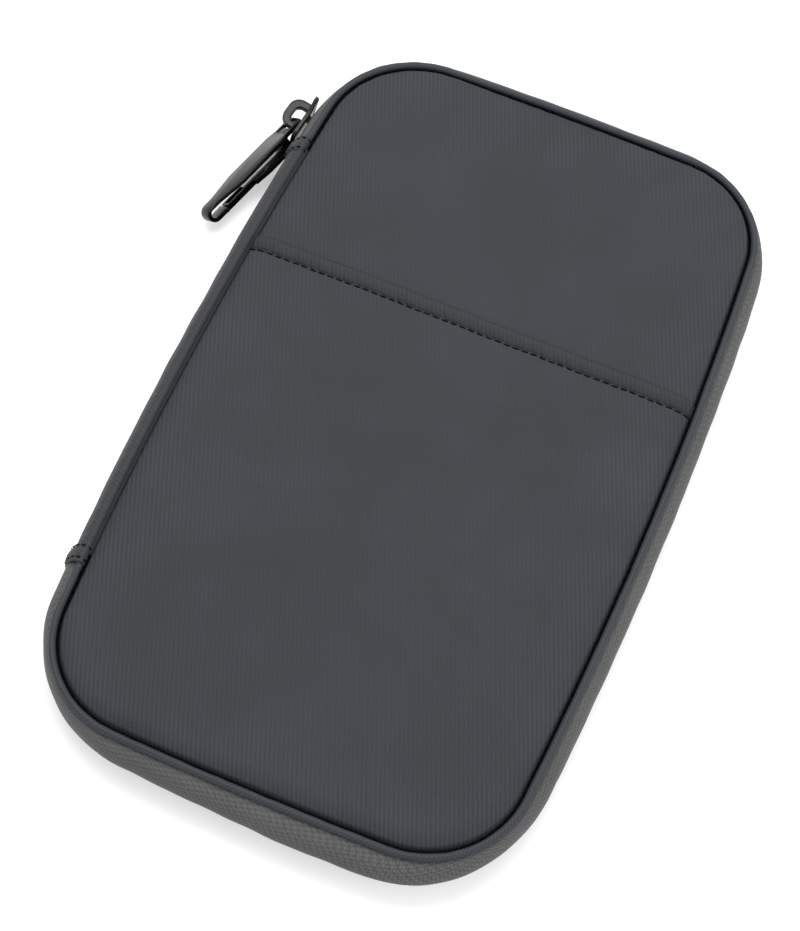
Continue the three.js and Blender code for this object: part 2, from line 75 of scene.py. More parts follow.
# Heights are in millimetres from the zip's plane, and insets and offsets from the seam's outline.
MM = 0.001
SAME_PLACE = 1e-6
HALF_THICKNESS = cad_high.z / MM / 2
SEAM_HEIGHT = 6.3
SEAM_HALF_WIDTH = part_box("front_panel")[1].x / MM + 0.1
SEAM_HALF_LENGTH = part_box("front_panel")[1].y / MM + 0.1
SIDE_BOW, END_BOW, CORNER_RADIUS = 1260.0, 1160.0, 25.2
SIDE_STEPS, CORNER_STEPS, END_STEPS = 56, 44, 36
COVER_ROLL = 6.0
COVER_RUN = 24.0
EDGE_TURN = 0.9
GROOVE_DEPTH = 1.9
FRONT_FACE_HEIGHT = 7.4
BOARD_BASE = 5.3
SWELL_WAVE = 60
PUCKER_HEIGHT, PUCKER_REACH = 0.28, 2.6


def arc(cx, cy, radius, start, end, steps):
    """Points of an arc, its last one left out."""
    a = start + (end - start) * np.arange(steps) / steps
    return np.stack([cx + radius * np.cos(a), cy + radius * np.sin(a)], 1)


def outline(offset=0.0, extra=0.0):
    """The cover's outline at a distance from its seam, anticlockwise from the zip side's middle."""
    rx, ry = SIDE_BOW + offset, END_BOW + offset
    x0, y0 = SEAM_HALF_WIDTH + offset, SEAM_HALF_LENGTH + offset
    r = CORNER_RADIUS + offset + extra
    a, b = np.array([x0 - rx, 0.0]), np.array([0.0, y0 - ry])
    span = np.linalg.norm(b - a)
    u = (b - a) / span
    along = ((rx - r) ** 2 - (ry - r) ** 2 + span**2) / (2 * span)
    across = math.sqrt((rx - r) ** 2 - along**2)
    c = a + u * along + np.array([-u[1], u[0]]) * across
    t1, t2 = math.atan2(c[1], c[0] - a[0]), math.atan2(c[1] - b[1], c[0])
    quarter = np.concatenate(
        [
            arc(a[0], 0, rx, 0, t1, SIDE_STEPS),
            arc(c[0], c[1], r, t1, t2, CORNER_STEPS),
            arc(0, b[1], ry, t2, math.pi / 2, END_STEPS),
        ]
    )
    top = np.array([[0.0, y0]])
    left = (quarter * [-1, 1])[::-1]
    upper = np.concatenate([quarter, top, left])
    lower = (upper[1:-1] * [1, -1])[::-1]
    return np.concatenate([upper, lower])


def undulation(xy, height, wave, seed):
    """A slow, uneven swell over the cloth, in millimetres."""
    r = np.random.default_rng(seed)
    total = np.zeros(len(xy))
    for _ in range(7):
        angle, phase = r.uniform(0, math.pi), r.uniform(0, 2 * math.pi)
        k = 2 * math.pi / (wave * r.uniform(0.7, 1.6))
        total += np.sin(k * (xy[:, 0] * math.cos(angle) + xy[:, 1] * math.sin(angle)) + phase)
    return height * total / 3.5


def run_length(loop):
    """Distance along a closed loop to each of its points."""
    steps = np.linalg.norm(np.roll(loop, -1, 0) - loop, axis=1)
    return np.concatenate([[0], np.cumsum(steps)[:-1]])


def grid_mesh(name, points, wrap_rows=False, wrap_cols=False, uv=None, flip=False):
    """A mesh over rows and columns of points given in millimetres; uv is in metres."""
    points = np.asarray(points, float)
    rows, cols = points.shape[:2]
    r = np.arange(rows if wrap_rows else rows - 1)
    c = np.arange(cols if wrap_cols else cols - 1)
    rr, cc = np.meshgrid(r, c, indexing="ij")
    r2, c2 = (rr + 1) % rows, (cc + 1) % cols
    quads = np.stack([rr * cols + cc, rr * cols + c2, r2 * cols + c2, r2 * cols + cc], -1)
    quads = quads.reshape(-1, 4)
    if flip:
        quads = quads[:, ::-1]
    mesh = bpy.data.meshes.new(name)
    mesh.from_pydata((points.reshape(-1, 3) * MM).tolist(), [], quads.tolist())
    if uv is not None:
        u, v = uv
        layer = mesh.uv_layers.new(name="cloth")
        # The column after the last one closes the round, so its length runs on.
        cu = np.where(cc + 1 < cols, u[(cc + 1) % cols], u[-1] + (u[1] - u[0]))
        cv = np.where(rr + 1 < rows, v[(rr + 1) % rows], v[-1] + (v[1] - v[0]))
        corners = np.stack(
            [
                np.stack([u[cc], v[rr]], -1),
                np.stack([cu, v[rr]], -1),
                np.stack([cu, cv], -1),
                np.stack([u[cc], cv], -1),
            ],
            2,
        ).reshape(-1, 4, 2)
        if flip:
            corners = corners[:, ::-1]
        layer.data.foreach_set("uv", corners.reshape(-1).astype(np.float32))
    mesh.polygons.foreach_set("use_smooth", np.ones(len(quads), bool))
    mesh.update()
    return mesh


def add_piece(name, mesh, material):
    """The mesh as an object of that name, in that one material."""
    piece = bpy.data.objects.new(name, mesh)
    bpy.context.scene.collection.objects.link(piece)
    piece.data.materials.clear()
    piece.data.materials.append(material)
    return piece


def merged(mesh, outward=False):
    """Doubles merged, and faces turned outwards on a closed mesh."""
    b = bmesh.new()
    b.from_mesh(mesh)
    bmesh.ops.remove_doubles(b, verts=b.verts, dist=SAME_PLACE)
    bmesh.ops.dissolve_degenerate(b, dist=SAME_PLACE, edges=b.edges)
    if outward:
        bmesh.ops.recalc_face_normals(b, faces=b.faces)
    b.to_mesh(mesh)
    b.free()
    mesh.polygons.foreach_set("use_smooth", np.ones(len(mesh.polygons), bool))
    mesh.update()
    return mesh


def turn_outwards(mesh):
    """Every face of an open shell reversed, if together they face the middle of the wallet."""
    middle = Vector((0, 0, HALF_THICKNESS * MM))
    if sum(f.area * f.normal.dot(f.center - middle) for f in mesh.polygons) < 0:
        mesh.flip_normals()
    return mesh


def roll_height(inset, groove, face, roll=COVER_ROLL):
    """Height of the cloth over the board's rolled edge: from the groove up to the flat face."""
    edge = 1 - np.clip(1 - inset / EDGE_TURN, 0, 1) ** 2
    steep = 1 - np.clip(1 - inset / roll, 0, 1) ** 2.4
    slow = 1 - np.clip(1 - inset / COVER_RUN, 0, 1) ** 2.2
    top = groove + GROOVE_DEPTH
    return groove + GROOVE_DEPTH * edge + (face - top) * (0.78 * steep + 0.22 * slow)


# The loops of cloth are closest together where the roll turns fastest.
INSETS = np.array(
    [0.1, 0.2, 0.35, 0.5, 0.7, 0.9, 1.2, 1.6, 2, 2.6, 3.3, 4.1, 5, 6, 7.5, 9.5, 12, 15, 18, 21]
)
# Where the board's corners press the cloth out over the seam: place, reach and rise.
FULL_CORNERS = [(52.0, 92.0, 17.0, 1.0), (-32.0, 104.0, 9.0, 0.7)]


def cover_rows(groove, face, swell, seed, roll=COVER_ROLL):
    """Loops of a cover's outer cloth, from the seam to the middle, heights from the zip's plane."""
    rows = []
    length = run_length(outline())
    pucker = np.zeros(len(length))
    r = np.random.default_rng(seed)
    for _ in range(9):
        k = 2 * math.pi * round(length[-1] / r.uniform(3.2, 9)) / length[-1]
        pucker += np.sin(k * length + r.uniform(0, 2 * math.pi)) / 9
    for inset in INSETS:
        loop = outline(-inset)
        z = roll_height(inset, groove, face, roll)
        z = z + PUCKER_HEIGHT * pucker * math.exp(-inset / PUCKER_REACH) * min(1, inset / 0.7)
        z = z + undulation(loop, swell, SWELL_WAVE, seed) * min(1, inset / 10)
        for x, y, reach, rise in FULL_CORNERS:
            near = np.exp(-((loop[:, 0] - x) ** 2 + (loop[:, 1] - y) ** 2) / reach**2)
            z = z + rise * near * min(1, inset / EDGE_TURN) * math.exp(-inset / 7)
        rows.append(np.column_stack([loop, np.broadcast_to(z, len(loop))]))
    edge = rows[-1][:, :2]
    spine_line = np.column_stack([np.zeros(len(edge)), edge[:, 1] * 0.62])
    for t in np.linspace(0, 1, 22)[1:]:
        xy = edge * (1 - t) + spine_line * t
        z = roll_height(INSETS[-1] + 30 * t, groove, face) + undulation(xy, swell, SWELL_WAVE, seed)
        rows.append(np.column_stack([xy, z]))
    return np.array(rows)


def raised(rows, side=1):
    """The same loops as points in the wallet's own frame, for the front (1) or the back (-1)."""
    placed = rows.copy()
    placed[..., 2] = HALF_THICKNESS + side * rows[..., 2]
    return placed


def new_material(name):
    """A material with its nodes, its links and its shader."""
    material = bpy.data.materials.new(name)
    material.use_nodes = True
    nodes, links = material.node_tree.nodes, material.node_tree.links
    shader = nodes["Principled BSDF"]
    return material, nodes, links, shader


def band(nodes, links, coordinate, period, angle):
    """Fine parallel ridges, a period in metres apart and turned by an angle in degrees."""
    turn = nodes.new("ShaderNodeMapping")
    turn.inputs["Rotation"].default_value = (0, 0, math.radians(angle))
    wave = nodes.new("ShaderNodeTexWave")
    wave.wave_type, wave.bands_direction = "BANDS", "X"
    wave.inputs["Scale"].default_value = 2 * math.pi / (20 * period)
    wave.inputs["Distortion"].default_value = 0.6
    wave.inputs["Detail"].default_value = 1.0
    wave.inputs["Detail Scale"].default_value = 1.5
    links.new(coordinate, turn.inputs["Vector"])
    links.new(turn.outputs["Vector"], wave.inputs["Vector"])
    return wave.outputs["Fac"]


def math_node(nodes, links, operation, a, b):
    """One sum of two values, each a number or another node's output."""
    node = nodes.new("ShaderNodeMath")
    node.operation = operation
    for socket, value in zip(node.inputs, (a, b)):
        if isinstance(value, (int, float)):
            socket.default_value = value
        else:
            links.new(value, socket)
    return node.outputs[0]


def cloth_material(
    name,
    dark,
    light,
    roughness,
    twill,
    rib,
    rib_angle,
    strength,
    on_uv=False,
    rib_share=0.45,
    fade=False,
    shaded=False,
):
    """Coated woven cloth: fine twill over straight ribs, uneven in tone and worn on its ridges."""
    material, nodes, links, shader = new_material(name)
    place = nodes.new("ShaderNodeTexCoord")
    coordinate = place.outputs["UV" if on_uv else "Object"]
    diagonal = band(nodes, links, coordinate, twill, rib_angle + 52)
    counter = band(nodes, links, coordinate, twill * 0.92, rib_angle - 40)
    ribs = band(nodes, links, coordinate, rib, rib_angle)
    if fade:
        near = nodes.new("ShaderNodeAttribute")
        near.attribute_name = "near_edge"
        patchy = nodes.new("ShaderNodeTexNoise")
        patchy.inputs["Scale"].default_value = 70
        links.new(coordinate, patchy.inputs["Vector"])
        ribs = math_node(nodes, links, "MULTIPLY", ribs, near.outputs["Fac"])
        ribs = math_node(nodes, links, "MULTIPLY", ribs, patchy.outputs["Fac"])
        ribs = math_node(nodes, links, "MULTIPLY", ribs, 1.7)
    weave = math_node(nodes, links, "MULTIPLY", diagonal, counter)
    height = math_node(
        nodes,
        links,
        "ADD",
        math_node(nodes, links, "MULTIPLY", weave, 1 - rib_share),
        math_node(nodes, links, "MULTIPLY", ribs, rib_share),
    )
    grain = nodes.new("ShaderNodeTexNoise")
    grain.inputs["Scale"].default_value = 2600
    grain.inputs["Detail"].default_value = 2
    links.new(coordinate, grain.inputs["Vector"])
    cloud = nodes.new("ShaderNodeTexNoise")
    cloud.inputs["Scale"].default_value = 38
    cloud.inputs["Detail"].default_value = 4
    links.new(coordinate, cloud.inputs["Vector"])
    tone = math_node(nodes, links, "MULTIPLY", height, 0.5)
    tone = math_node(
        nodes, links, "ADD", tone, math_node(nodes, links, "MULTIPLY", cloud.outputs["Fac"], 0.34)
    )
    tone = math_node(
        nodes, links, "ADD", tone, math_node(nodes, links, "MULTIPLY", grain.outputs["Fac"], 0.2)
    )
    ramp = nodes.new("ShaderNodeValToRGB")
    ramp.color_ramp.elements[0].position = 0.24
    ramp.color_ramp.elements[0].color = (*dark, 1)
    ramp.color_ramp.elements[1].position = 0.7
    ramp.color_ramp.elements[1].color = (*light, 1)
    links.new(tone, ramp.inputs["Fac"])
    colour = ramp.outputs["Color"]
    # With shaded set, the fold_shade attribute blends the colour towards near black: painted shade
    # along folds and stitches.
    if shaded:
        painted_fold_shade = nodes.new("ShaderNodeAttribute")
        painted_fold_shade.attribute_name = "fold_shade"
        darken = nodes.new("ShaderNodeMix")
        darken.data_type = "RGBA"
        darken.inputs["B"].default_value = (0.004, 0.0045, 0.0055, 1)
        links.new(painted_fold_shade.outputs["Fac"], darken.inputs["Factor"])
        links.new(colour, darken.inputs["A"])
        colour = darken.outputs["Result"]
    links.new(colour, shader.inputs["Base Color"])
    rough = nodes.new("ShaderNodeMapRange")
    rough.inputs["To Min"].default_value = roughness - 0.07
    rough.inputs["To Max"].default_value = roughness + 0.09
    links.new(cloud.outputs["Fac"], rough.inputs["Value"])
    links.new(rough.outputs["Result"], shader.inputs["Roughness"])
    bump = nodes.new("ShaderNodeBump")
    bump.inputs["Strength"].default_value = strength
    bump.inputs["Distance"].default_value = 0.00012
    links.new(height, bump.inputs["Height"])
    links.new(bump.outputs["Normal"], shader.inputs["Normal"])
    shader.inputs["Specular IOR Level"].default_value = 0.16
    shader.inputs["Sheen Weight"].default_value = 0.02
    shader.inputs["Sheen Roughness"].default_value = 0.5
    return material


PANEL_RIB_ANGLE = -22.0
shell_cloth = cloth_material(
    "shell_cloth",
    (0.016, 0.018, 0.0215),
    (0.0352, 0.0384, 0.0452),
    roughness=0.58,
    twill=0.00064,
    rib=0.0011,
    rib_angle=PANEL_RIB_ANGLE,
    strength=0.8,
    rib_share=0.55,
    fade=True,
)

front_rows = cover_rows(SEAM_HEIGHT - GROOVE_DEPTH, FRONT_FACE_HEIGHT, 0.1, 3)


def mark_edge(mesh):
    """Notes how near each vertex is to the seam, where the pulled cloth shows its ribs most."""
    points = np.array([v.co[:2] for v in mesh.vertices]) / MM
    seam = outline()
    nearest = np.array([np.min(np.sum((seam - point) ** 2, axis=1)) ** 0.5 for point in points])
    layer = mesh.attributes.new("near_edge", "FLOAT", "POINT")
    layer.data.foreach_set("value", (0.25 + 0.75 * np.exp(-nearest / 11)).astype(np.float32))
    return mesh


def padded_cover(name, rows, side):
    """The outer cloth closed below by the flat inner face of its foam board."""
    under = []
    for inset in (0.6, 3, 12):
        loop = outline(-inset)
        under.append(np.column_stack([loop, np.full(len(loop), BOARD_BASE)]))
    inner = under[-1][:, :2]
    line = np.column_stack([np.zeros(len(inner)), inner[:, 1] * 0.7])
    under.append(np.column_stack([line, np.full(len(line), BOARD_BASE)]))
    every = np.concatenate([np.array(under)[::-1], rows])
    mesh = grid_mesh(name, raised(every, side), wrap_cols=True)
    return mark_edge(merged(mesh, outward=True))


front_cover = add_piece("front_cover", padded_cover("front_cover", front_rows, 1), shell_cloth)
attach(front_cover, "front_half")
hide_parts("front_panel", "front_foam")

# ---- Front slip pocket ------------------------------------------------------------------------
# One layer of the same twill lies over the lower two thirds of the cover, caught in the same seam.
# Its top edge is folded inwards and top-stitched, and the fold puckers between the stitches.

POCKET_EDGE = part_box("front_slip_pocket")[1].y / MM
POCKET_FACE_HEIGHT = 8.4
HEM_DEPTH = 4.6
HEM_WAVES = (9, 26, 55)



def cut_above(mesh, top):
    """Takes away all of a mesh above that Y in millimetres, along a straight cut."""
    b = bmesh.new()
    b.from_mesh(mesh)
    bmesh.ops.bisect_plane(
        b,
        geom=b.verts[:] + b.edges[:] + b.faces[:],
        plane_co=(0, top * MM, 0),
        plane_no=(0, 1, 0),
        clear_outer=True,
    )
    b.to_mesh(mesh)
    b.free()
    return mesh


pocket_rows = cover_rows(SEAM_HEIGHT - GROOVE_DEPTH + 0.1, POCKET_FACE_HEIGHT, 0.13, 8, 5.2)
pocket_mesh = merged(grid_mesh("slip_pocket", raised(pocket_rows), wrap_cols=True))
whole = bmesh.new()
whole.from_mesh(pocket_mesh)
pocket_surface = BVHTree.FromBMesh(whole)
whole.free()
# The cloth stops inside the hem, which has its own piece.
mark_edge(turn_outwards(cut_above(pocket_mesh, POCKET_EDGE - 1.6)))


def pocket_height(x, y):
    """Height of the pocket's cloth above the zip's plane at each place."""
    heights = []
    for px, py in zip(x, y):
        above = Vector((px * MM, py * MM, 0.1))
        hit = pocket_surface.ray_cast(above, Vector((0, 0, -1)))[0]
        heights.append(np.nan if hit is None else hit.z / MM - HALF_THICKNESS)
    heights = np.array(heights)
    found = ~np.isnan(heights)
    return np.interp(np.arange(len(x)), np.flatnonzero(found), heights[found])


def along_noise(t, seed, waves, height):
    """An uneven wave along a line, from a few sine waves of those lengths."""
    r = np.random.default_rng(seed)
    total = np.zeros(len(t))
    for wave in waves:
        total += np.sin(2 * math.pi * t / (wave * r.uniform(0.8, 1.25)) + r.uniform(0, 6.28))
    return height * total / len(waves)


hem_x = np.linspace(-SEAM_HALF_WIDTH + 0.45, SEAM_HALF_WIDTH - 0.45, 900)
edge_line = POCKET_EDGE + along_noise(hem_x, 6, HEM_WAVES, 0.22)
stitch_line = POCKET_EDGE - HEM_DEPTH + along_noise(hem_x, 6, HEM_WAVES, 0.15)
# Share of the hem's depth, lift over the pocket's cloth, share of the puckers, and how far the
# cloth is darkened along the fold and the stitches, as painted shade.
hem_section = [
    (1.0, -0.9, 0.1, 0.9),
    (1.015, -0.35, 0.1, 0.9),
    (1.01, 0.1, 0.25, 0.85),
    (0.985, 0.4, 0.35, 0.7),
    (0.93, 0.58, 0.4, 0.3),
    (0.86, 0.66, 0.5, 0.08),
    (0.72, 0.68, 0.6, 0.08),
    (0.55, 0.62, 0.9, 0.14),
    (0.38, 0.5, 1.2, 0.2),
    (0.22, 0.32, 1.3, 0.3),
    (0.11, 0.1, 0.9, 0.6),
    (0.05, -0.08, 0.2, 0.8),
    (0.0, -0.3, 0.0, 0.9),
    (-0.04, -0.6, 0.0, 0.9),
]
hem_points = []
for share, lift, pucker, _ in hem_section:
    y = stitch_line + (edge_line - stitch_line) * share
    z = pocket_height(hem_x, y) + lift
    z = z + pucker * along_noise(hem_x + 1.3 * share, 9, (1.6, 2.1, 3.1, 5.2), 0.17)
    hem_points.append(np.column_stack([hem_x, y, HALF_THICKNESS + z]))
hem_rows = np.array(hem_points)
hem_v = np.array([s[0] * HEM_DEPTH for s in hem_section]) * MM
hem_mesh = grid_mesh("pocket_hem", hem_rows, uv=(hem_x * MM, hem_v))
# Painted shade along the hem's fold and its stitches, from the last column of the table.
shade = hem_mesh.attributes.new("fold_shade", "FLOAT", "POINT")
shade.data.foreach_set(
    "value", np.repeat([s[3] for s in hem_section], len(hem_x)).astype(np.float32)
)

hem_cloth = cloth_material(
    "hem_cloth",
    (0.017, 0.0183, 0.021),
    (0.029, 0.0303, 0.034),
    roughness=0.6,
    twill=0.00064,
    rib=0.0011,
    rib_angle=PANEL_RIB_ANGLE,
    strength=0.6,
    shaded=True,
)
slip_pocket = add_piece("slip_pocket", pocket_mesh, shell_cloth)
pocket_hem = add_piece("pocket_hem", turn_outwards(merged(hem_mesh)), hem_cloth)
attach(slip_pocket, "front_half")
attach(pocket_hem, "front_half")
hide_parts("front_slip_pocket")

# ---- Top-stitching ----------------------------------------------------------------------------
# Dark bonded thread, sewn in short even stitches that sink into the cloth: one row along the
# pocket's hem, and one all round each cover in the groove beside the piping.

thread, nodes, links, shader = new_material("dark_thread")
place = nodes.new("ShaderNodeTexCoord")
twist = band(nodes, links, place.outputs["Object"], 0.0004, 35)
ramp = nodes.new("ShaderNodeValToRGB")
ramp.color_ramp.elements[0].color = (0.001, 0.0011, 0.0014, 1)
ramp.color_ramp.elements[1].color = (0.0045, 0.005, 0.006, 1)
links.new(twist, ramp.inputs["Fac"])
links.new(ramp.outputs["Color"], shader.inputs["Base Color"])
bump = nodes.new("ShaderNodeBump")
bump.inputs["Strength"].default_value = 0.5
bump.inputs["Distance"].default_value = 0.0001
links.new(twist, bump.inputs["Height"])
links.new(bump.outputs["Normal"], shader.inputs["Normal"])
shader.inputs["Roughness"].default_value = 0.8
shader.inputs["Specular IOR Level"].default_value = 0.04


def bead_row_tree():
    """Rounded beads laid end to end along a line: stitches, or the turns of a zip coil."""
    tree = bpy.data.node_groups.new("bead_row", "GeometryNodeTree")
    face = tree.interface
    face.new_socket("Geometry", in_out="INPUT", socket_type="NodeSocketGeometry")
    for label in ("Spacing", "Along", "Across", "High", "Jitter"):
        face.new_socket(label, in_out="INPUT", socket_type="NodeSocketFloat")
    face.new_socket("Finish", in_out="INPUT", socket_type="NodeSocketMaterial")
    face.new_socket("Geometry", in_out="OUTPUT", socket_type="NodeSocketGeometry")
    n, wire = tree.nodes, tree.links
    given, out = n.new("NodeGroupInput"), n.new("NodeGroupOutput")
    curve = n.new("GeometryNodeMeshToCurve")
    points = n.new("GeometryNodeCurveToPoints")
    points.mode = "LENGTH"
    bead = n.new("GeometryNodeMeshUVSphere")
    bead.inputs["Segments"].default_value = 8
    bead.inputs["Rings"].default_value = 5
    bead.inputs["Radius"].default_value = 0.5
    size = n.new("ShaderNodeCombineXYZ")
    shape = n.new("GeometryNodeTransform")
    lay = n.new("GeometryNodeInstanceOnPoints")
    wobble = n.new("FunctionNodeRandomValue")
    wobble.data_type = "FLOAT_VECTOR"
    wobble.inputs["Seed"].default_value = 4
    low = n.new("ShaderNodeVectorMath")
    low.operation = "SCALE"
    low.inputs[0].default_value = (-1, -1, -1)
    high = n.new("ShaderNodeVectorMath")
    high.operation = "SCALE"
    high.inputs[0].default_value = (1, 1, 1)
    turn = n.new("GeometryNodeRotateInstances")
    real = n.new("GeometryNodeRealizeInstances")
    paint = n.new("GeometryNodeSetMaterial")
    smooth = n.new("GeometryNodeSetShadeSmooth")
    wire.new(given.outputs["Geometry"], curve.inputs["Mesh"])
    wire.new(curve.outputs["Curve"], points.inputs["Curve"])
    wire.new(given.outputs["Spacing"], points.inputs["Length"])
    wire.new(given.outputs["Across"], size.inputs["X"])
    wire.new(given.outputs["High"], size.inputs["Y"])
    wire.new(given.outputs["Along"], size.inputs["Z"])
    wire.new(bead.outputs["Mesh"], shape.inputs["Geometry"])
    wire.new(size.outputs["Vector"], shape.inputs["Scale"])
    wire.new(points.outputs["Points"], lay.inputs["Points"])
    wire.new(shape.outputs["Geometry"], lay.inputs["Instance"])
    wire.new(points.outputs["Rotation"], lay.inputs["Rotation"])
    wire.new(given.outputs["Jitter"], low.inputs["Scale"])
    wire.new(given.outputs["Jitter"], high.inputs["Scale"])
    wire.new(low.outputs["Vector"], wobble.inputs["Min"])
    wire.new(high.outputs["Vector"], wobble.inputs["Max"])
    wire.new(lay.outputs["Instances"], turn.inputs["Instances"])
    wire.new(wobble.outputs["Value"], turn.inputs["Rotation"])
    wire.new(turn.outputs["Instances"], real.inputs["Geometry"])
    wire.new(real.outputs["Geometry"], smooth.inputs["Geometry"])
    wire.new(smooth.outputs["Geometry"], paint.inputs["Geometry"])
    wire.new(given.outputs["Finish"], paint.inputs["Material"])
    wire.new(paint.outputs["Geometry"], out.inputs["Geometry"])
    return tree


bead_row = bead_row_tree()


def bead_piece(name, lines, finish, spacing, along, across, high, jitter=0.05):
    """Beads along each line of points in millimetres, as one plain mesh."""
    vertices, edges = [], []
    for line, closed in lines:
        first = len(vertices)
        vertices += (np.asarray(line) * MM).tolist()
        count = len(vertices) - first
        edges += [(first + i, first + i + 1) for i in range(count - 1)]
        if closed:
            edges.append((first + count - 1, first))
    guide = bpy.data.meshes.new(name + "_guide")
    guide.from_pydata(vertices, edges, [])
    carrier = bpy.data.objects.new(name + "_guide", guide)
    bpy.context.scene.collection.objects.link(carrier)
    modifier = carrier.modifiers.new("beads", "NODES")
    modifier.node_group = bead_row
    values = {
        "Spacing": spacing * MM,
        "Along": along * MM,
        "Across": across * MM,
        "High": high * MM,
        "Jitter": jitter,
        "Finish": finish,
    }
    for item in bead_row.interface.items_tree:
        if item.in_out == "INPUT" and item.name in values:
            modifier[item.identifier] = values[item.name]
    graph = bpy.context.evaluated_depsgraph_get()
    mesh = bpy.data.meshes.new_from_object(carrier.evaluated_get(graph))
    mesh.name = name
    bpy.data.objects.remove(carrier)
    bpy.data.meshes.remove(guide)
    return add_piece(name, mesh, finish)


stitch_x = np.linspace(-SEAM_HALF_WIDTH + 1.6, SEAM_HALF_WIDTH - 1.6, 240)
stitch_y = np.interp(stitch_x, hem_x, stitch_line)
stitch_z = HALF_THICKNESS + pocket_height(stitch_x, stitch_y) - 0.02
hem_stitches = bead_piece(
    "hem_stitches",
    [(np.column_stack([stitch_x, stitch_y, stitch_z]), False)],
    thread,
    spacing=2.5,
    along=2.25,
    across=0.55,
    high=0.5,
)
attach(hem_stitches, "front_half")


def seam_line(offset, height, side):
    """A line all round one cover at that offset and height."""
    loop = outline(offset)
    return np.column_stack([loop, np.full(len(loop), HALF_THICKNESS + side * height)])


# Offset from the seam and height along a near-black band down in the groove: painted shade, not
# cloth.
GROOVE_SHADE_SECTION = [(-0.35, 5.0), (0.0, 5.35), (0.5, 5.3), (0.9, 4.9), (0.3, 4.6)]
SEAM_STITCH_OFFSET, SEAM_STITCH_HEIGHT = 0.12, SEAM_HEIGHT - 0.62


def groove_shade_band(name, side):
    """A near-black band at the bottom of the groove, in the thread's colour: painted shade for the
    deep seam.
    """
    rows = [seam_line(offset, height, side) for offset, height in GROOVE_SHADE_SECTION]
    mesh = grid_mesh(name, np.array(rows), wrap_cols=True, wrap_rows=True)
    return add_piece(name, merged(mesh, outward=True), thread)


def seam_stitches(name, side):
    """A row of stitches all round one cover, down in the groove beside the piping."""
    line = seam_line(SEAM_STITCH_OFFSET, SEAM_STITCH_HEIGHT, side)
    return bead_piece(
        name, [(line, True)], thread, spacing=2.6, along=2.0, across=0.5, high=0.42
    )


# A band of painted shade in each cover's groove.
for side, half in ((1, "front"), (-1, "back")):
    shade_band = groove_shade_band(half + "_painted_groove_shade", side)
    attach(shade_band, half + "_half")
front_seam = seam_stitches("front_seam_stitches", 1)
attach(front_seam, "front_half")

# ---- Piping -----------------------------------------------------------------------------------
# A round cord wrapped in bias-cut cloth stands proud between each cover and the wall. The wrap's
# weave runs diagonally round the cord, and it wavers slightly along the seam.

PIPING_OFFSET, PIPING_HEIGHT, PIPING_RADIUS = 1.55, 5.95, 0.98
piping_cloth = cloth_material(
    "piping_cloth",
    (0.02, 0.0232, 0.0272),
    (0.037, 0.0415, 0.0475),
    roughness=0.5,
    twill=0.00055,
    rib=0.0009,
    rib_angle=38,
    strength=0.8,
    on_uv=True,
)


def piping(name, side):
    """The covered cord round one cover, a little uneven in thickness and height."""
    length = run_length(outline(PIPING_OFFSET))
    waver = np.zeros(len(length))
    r = np.random.default_rng(21)
    for wave in (5, 9, 17, 40):
        k = 2 * math.pi * round(length[-1] / wave) / length[-1]
        waver += np.sin(k * length + r.uniform(0, 6.28)) / 4
    rows = []
    turns = np.linspace(0, 2 * math.pi, 20, endpoint=False)
    for a in turns:
        radius = PIPING_RADIUS * (1 + 0.07 * waver)
        base = outline(PIPING_OFFSET)
        out = outline(PIPING_OFFSET + 1.0) - base
        xy = base + out * (radius * math.cos(a))[:, None]
        z = HALF_THICKNESS + side * (PIPING_HEIGHT + radius * math.sin(a) + 0.1 * waver)
        rows.append(np.column_stack([xy, z]))
    v = turns * PIPING_RADIUS * MM
    mesh = grid_mesh(
        name, np.array(rows), wrap_rows=True, wrap_cols=True, uv=(length * MM, v), flip=side < 0
    )
    return add_piece(name, merged(mesh, outward=True), piping_cloth)


front_rib = piping("front_rib", 1)
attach(front_rib, "front_half")
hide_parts("front_piping")
back_rib = piping("back_rib", -1)
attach(back_rib, "back_half")
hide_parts("back_piping")

# ---- Zip walls --------------------------------------------------------------------------------
# Each half's side wall is a band of twill over the zip tape. It bulges from under the piping to a
# turned edge at the zip, where the two halves meet over the coil.

WALL_BULGE, WALL_FOOT, WALL_EXTRA, WALL_TOP = 5.5, 1.9, 4.9, 5.3
ZIP_GAP = 0.3
TAPE_THICKNESS = 0.8
WALL_STEPS = 10
WALL_LENGTH = 640
# The front wall swells outwards at the foot of the case, where the case is fullest.
FOOT_SWELL = 2.3
SPINE_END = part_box("spine_tab_top")[1].y / MM
# The wall's twill is coloured paler than the covers': in part this is painted light, standing in
# for light thrown up from the pale table.
wall_cloth = cloth_material(
    "wall_cloth",
    (0.044, 0.0455, 0.0455),
    (0.1, 0.101, 0.098),
    roughness=0.62,
    twill=0.0008,
    rib=0.0013,
    rib_angle=48,
    strength=0.8,
    on_uv=True,
    rib_share=0.3,
)


def wall_section():
    """Offset, height and added corner radius, from the piping to the zip's edge and back inside."""
    points = []
    for share in np.linspace(0, 1, WALL_STEPS + 1):
        a = share * math.pi / 2
        out = WALL_FOOT + (WALL_BULGE - WALL_FOOT) * math.sin(a) ** 0.9
        height = ZIP_GAP + (WALL_TOP - ZIP_GAP) * math.cos(a) ** 0.95
        points.append((out, height, WALL_EXTRA * (out - WALL_FOOT) / (WALL_BULGE - WALL_FOOT)))
    inner = [(o - TAPE_THICKNESS, max(h, ZIP_GAP), e) for o, h, e in points[::-1][:-2]]
    turned = [(WALL_BULGE - inset, ZIP_GAP - 0.1, WALL_EXTRA) for inset in (0.12, 0.55)]
    return points + turned + inner


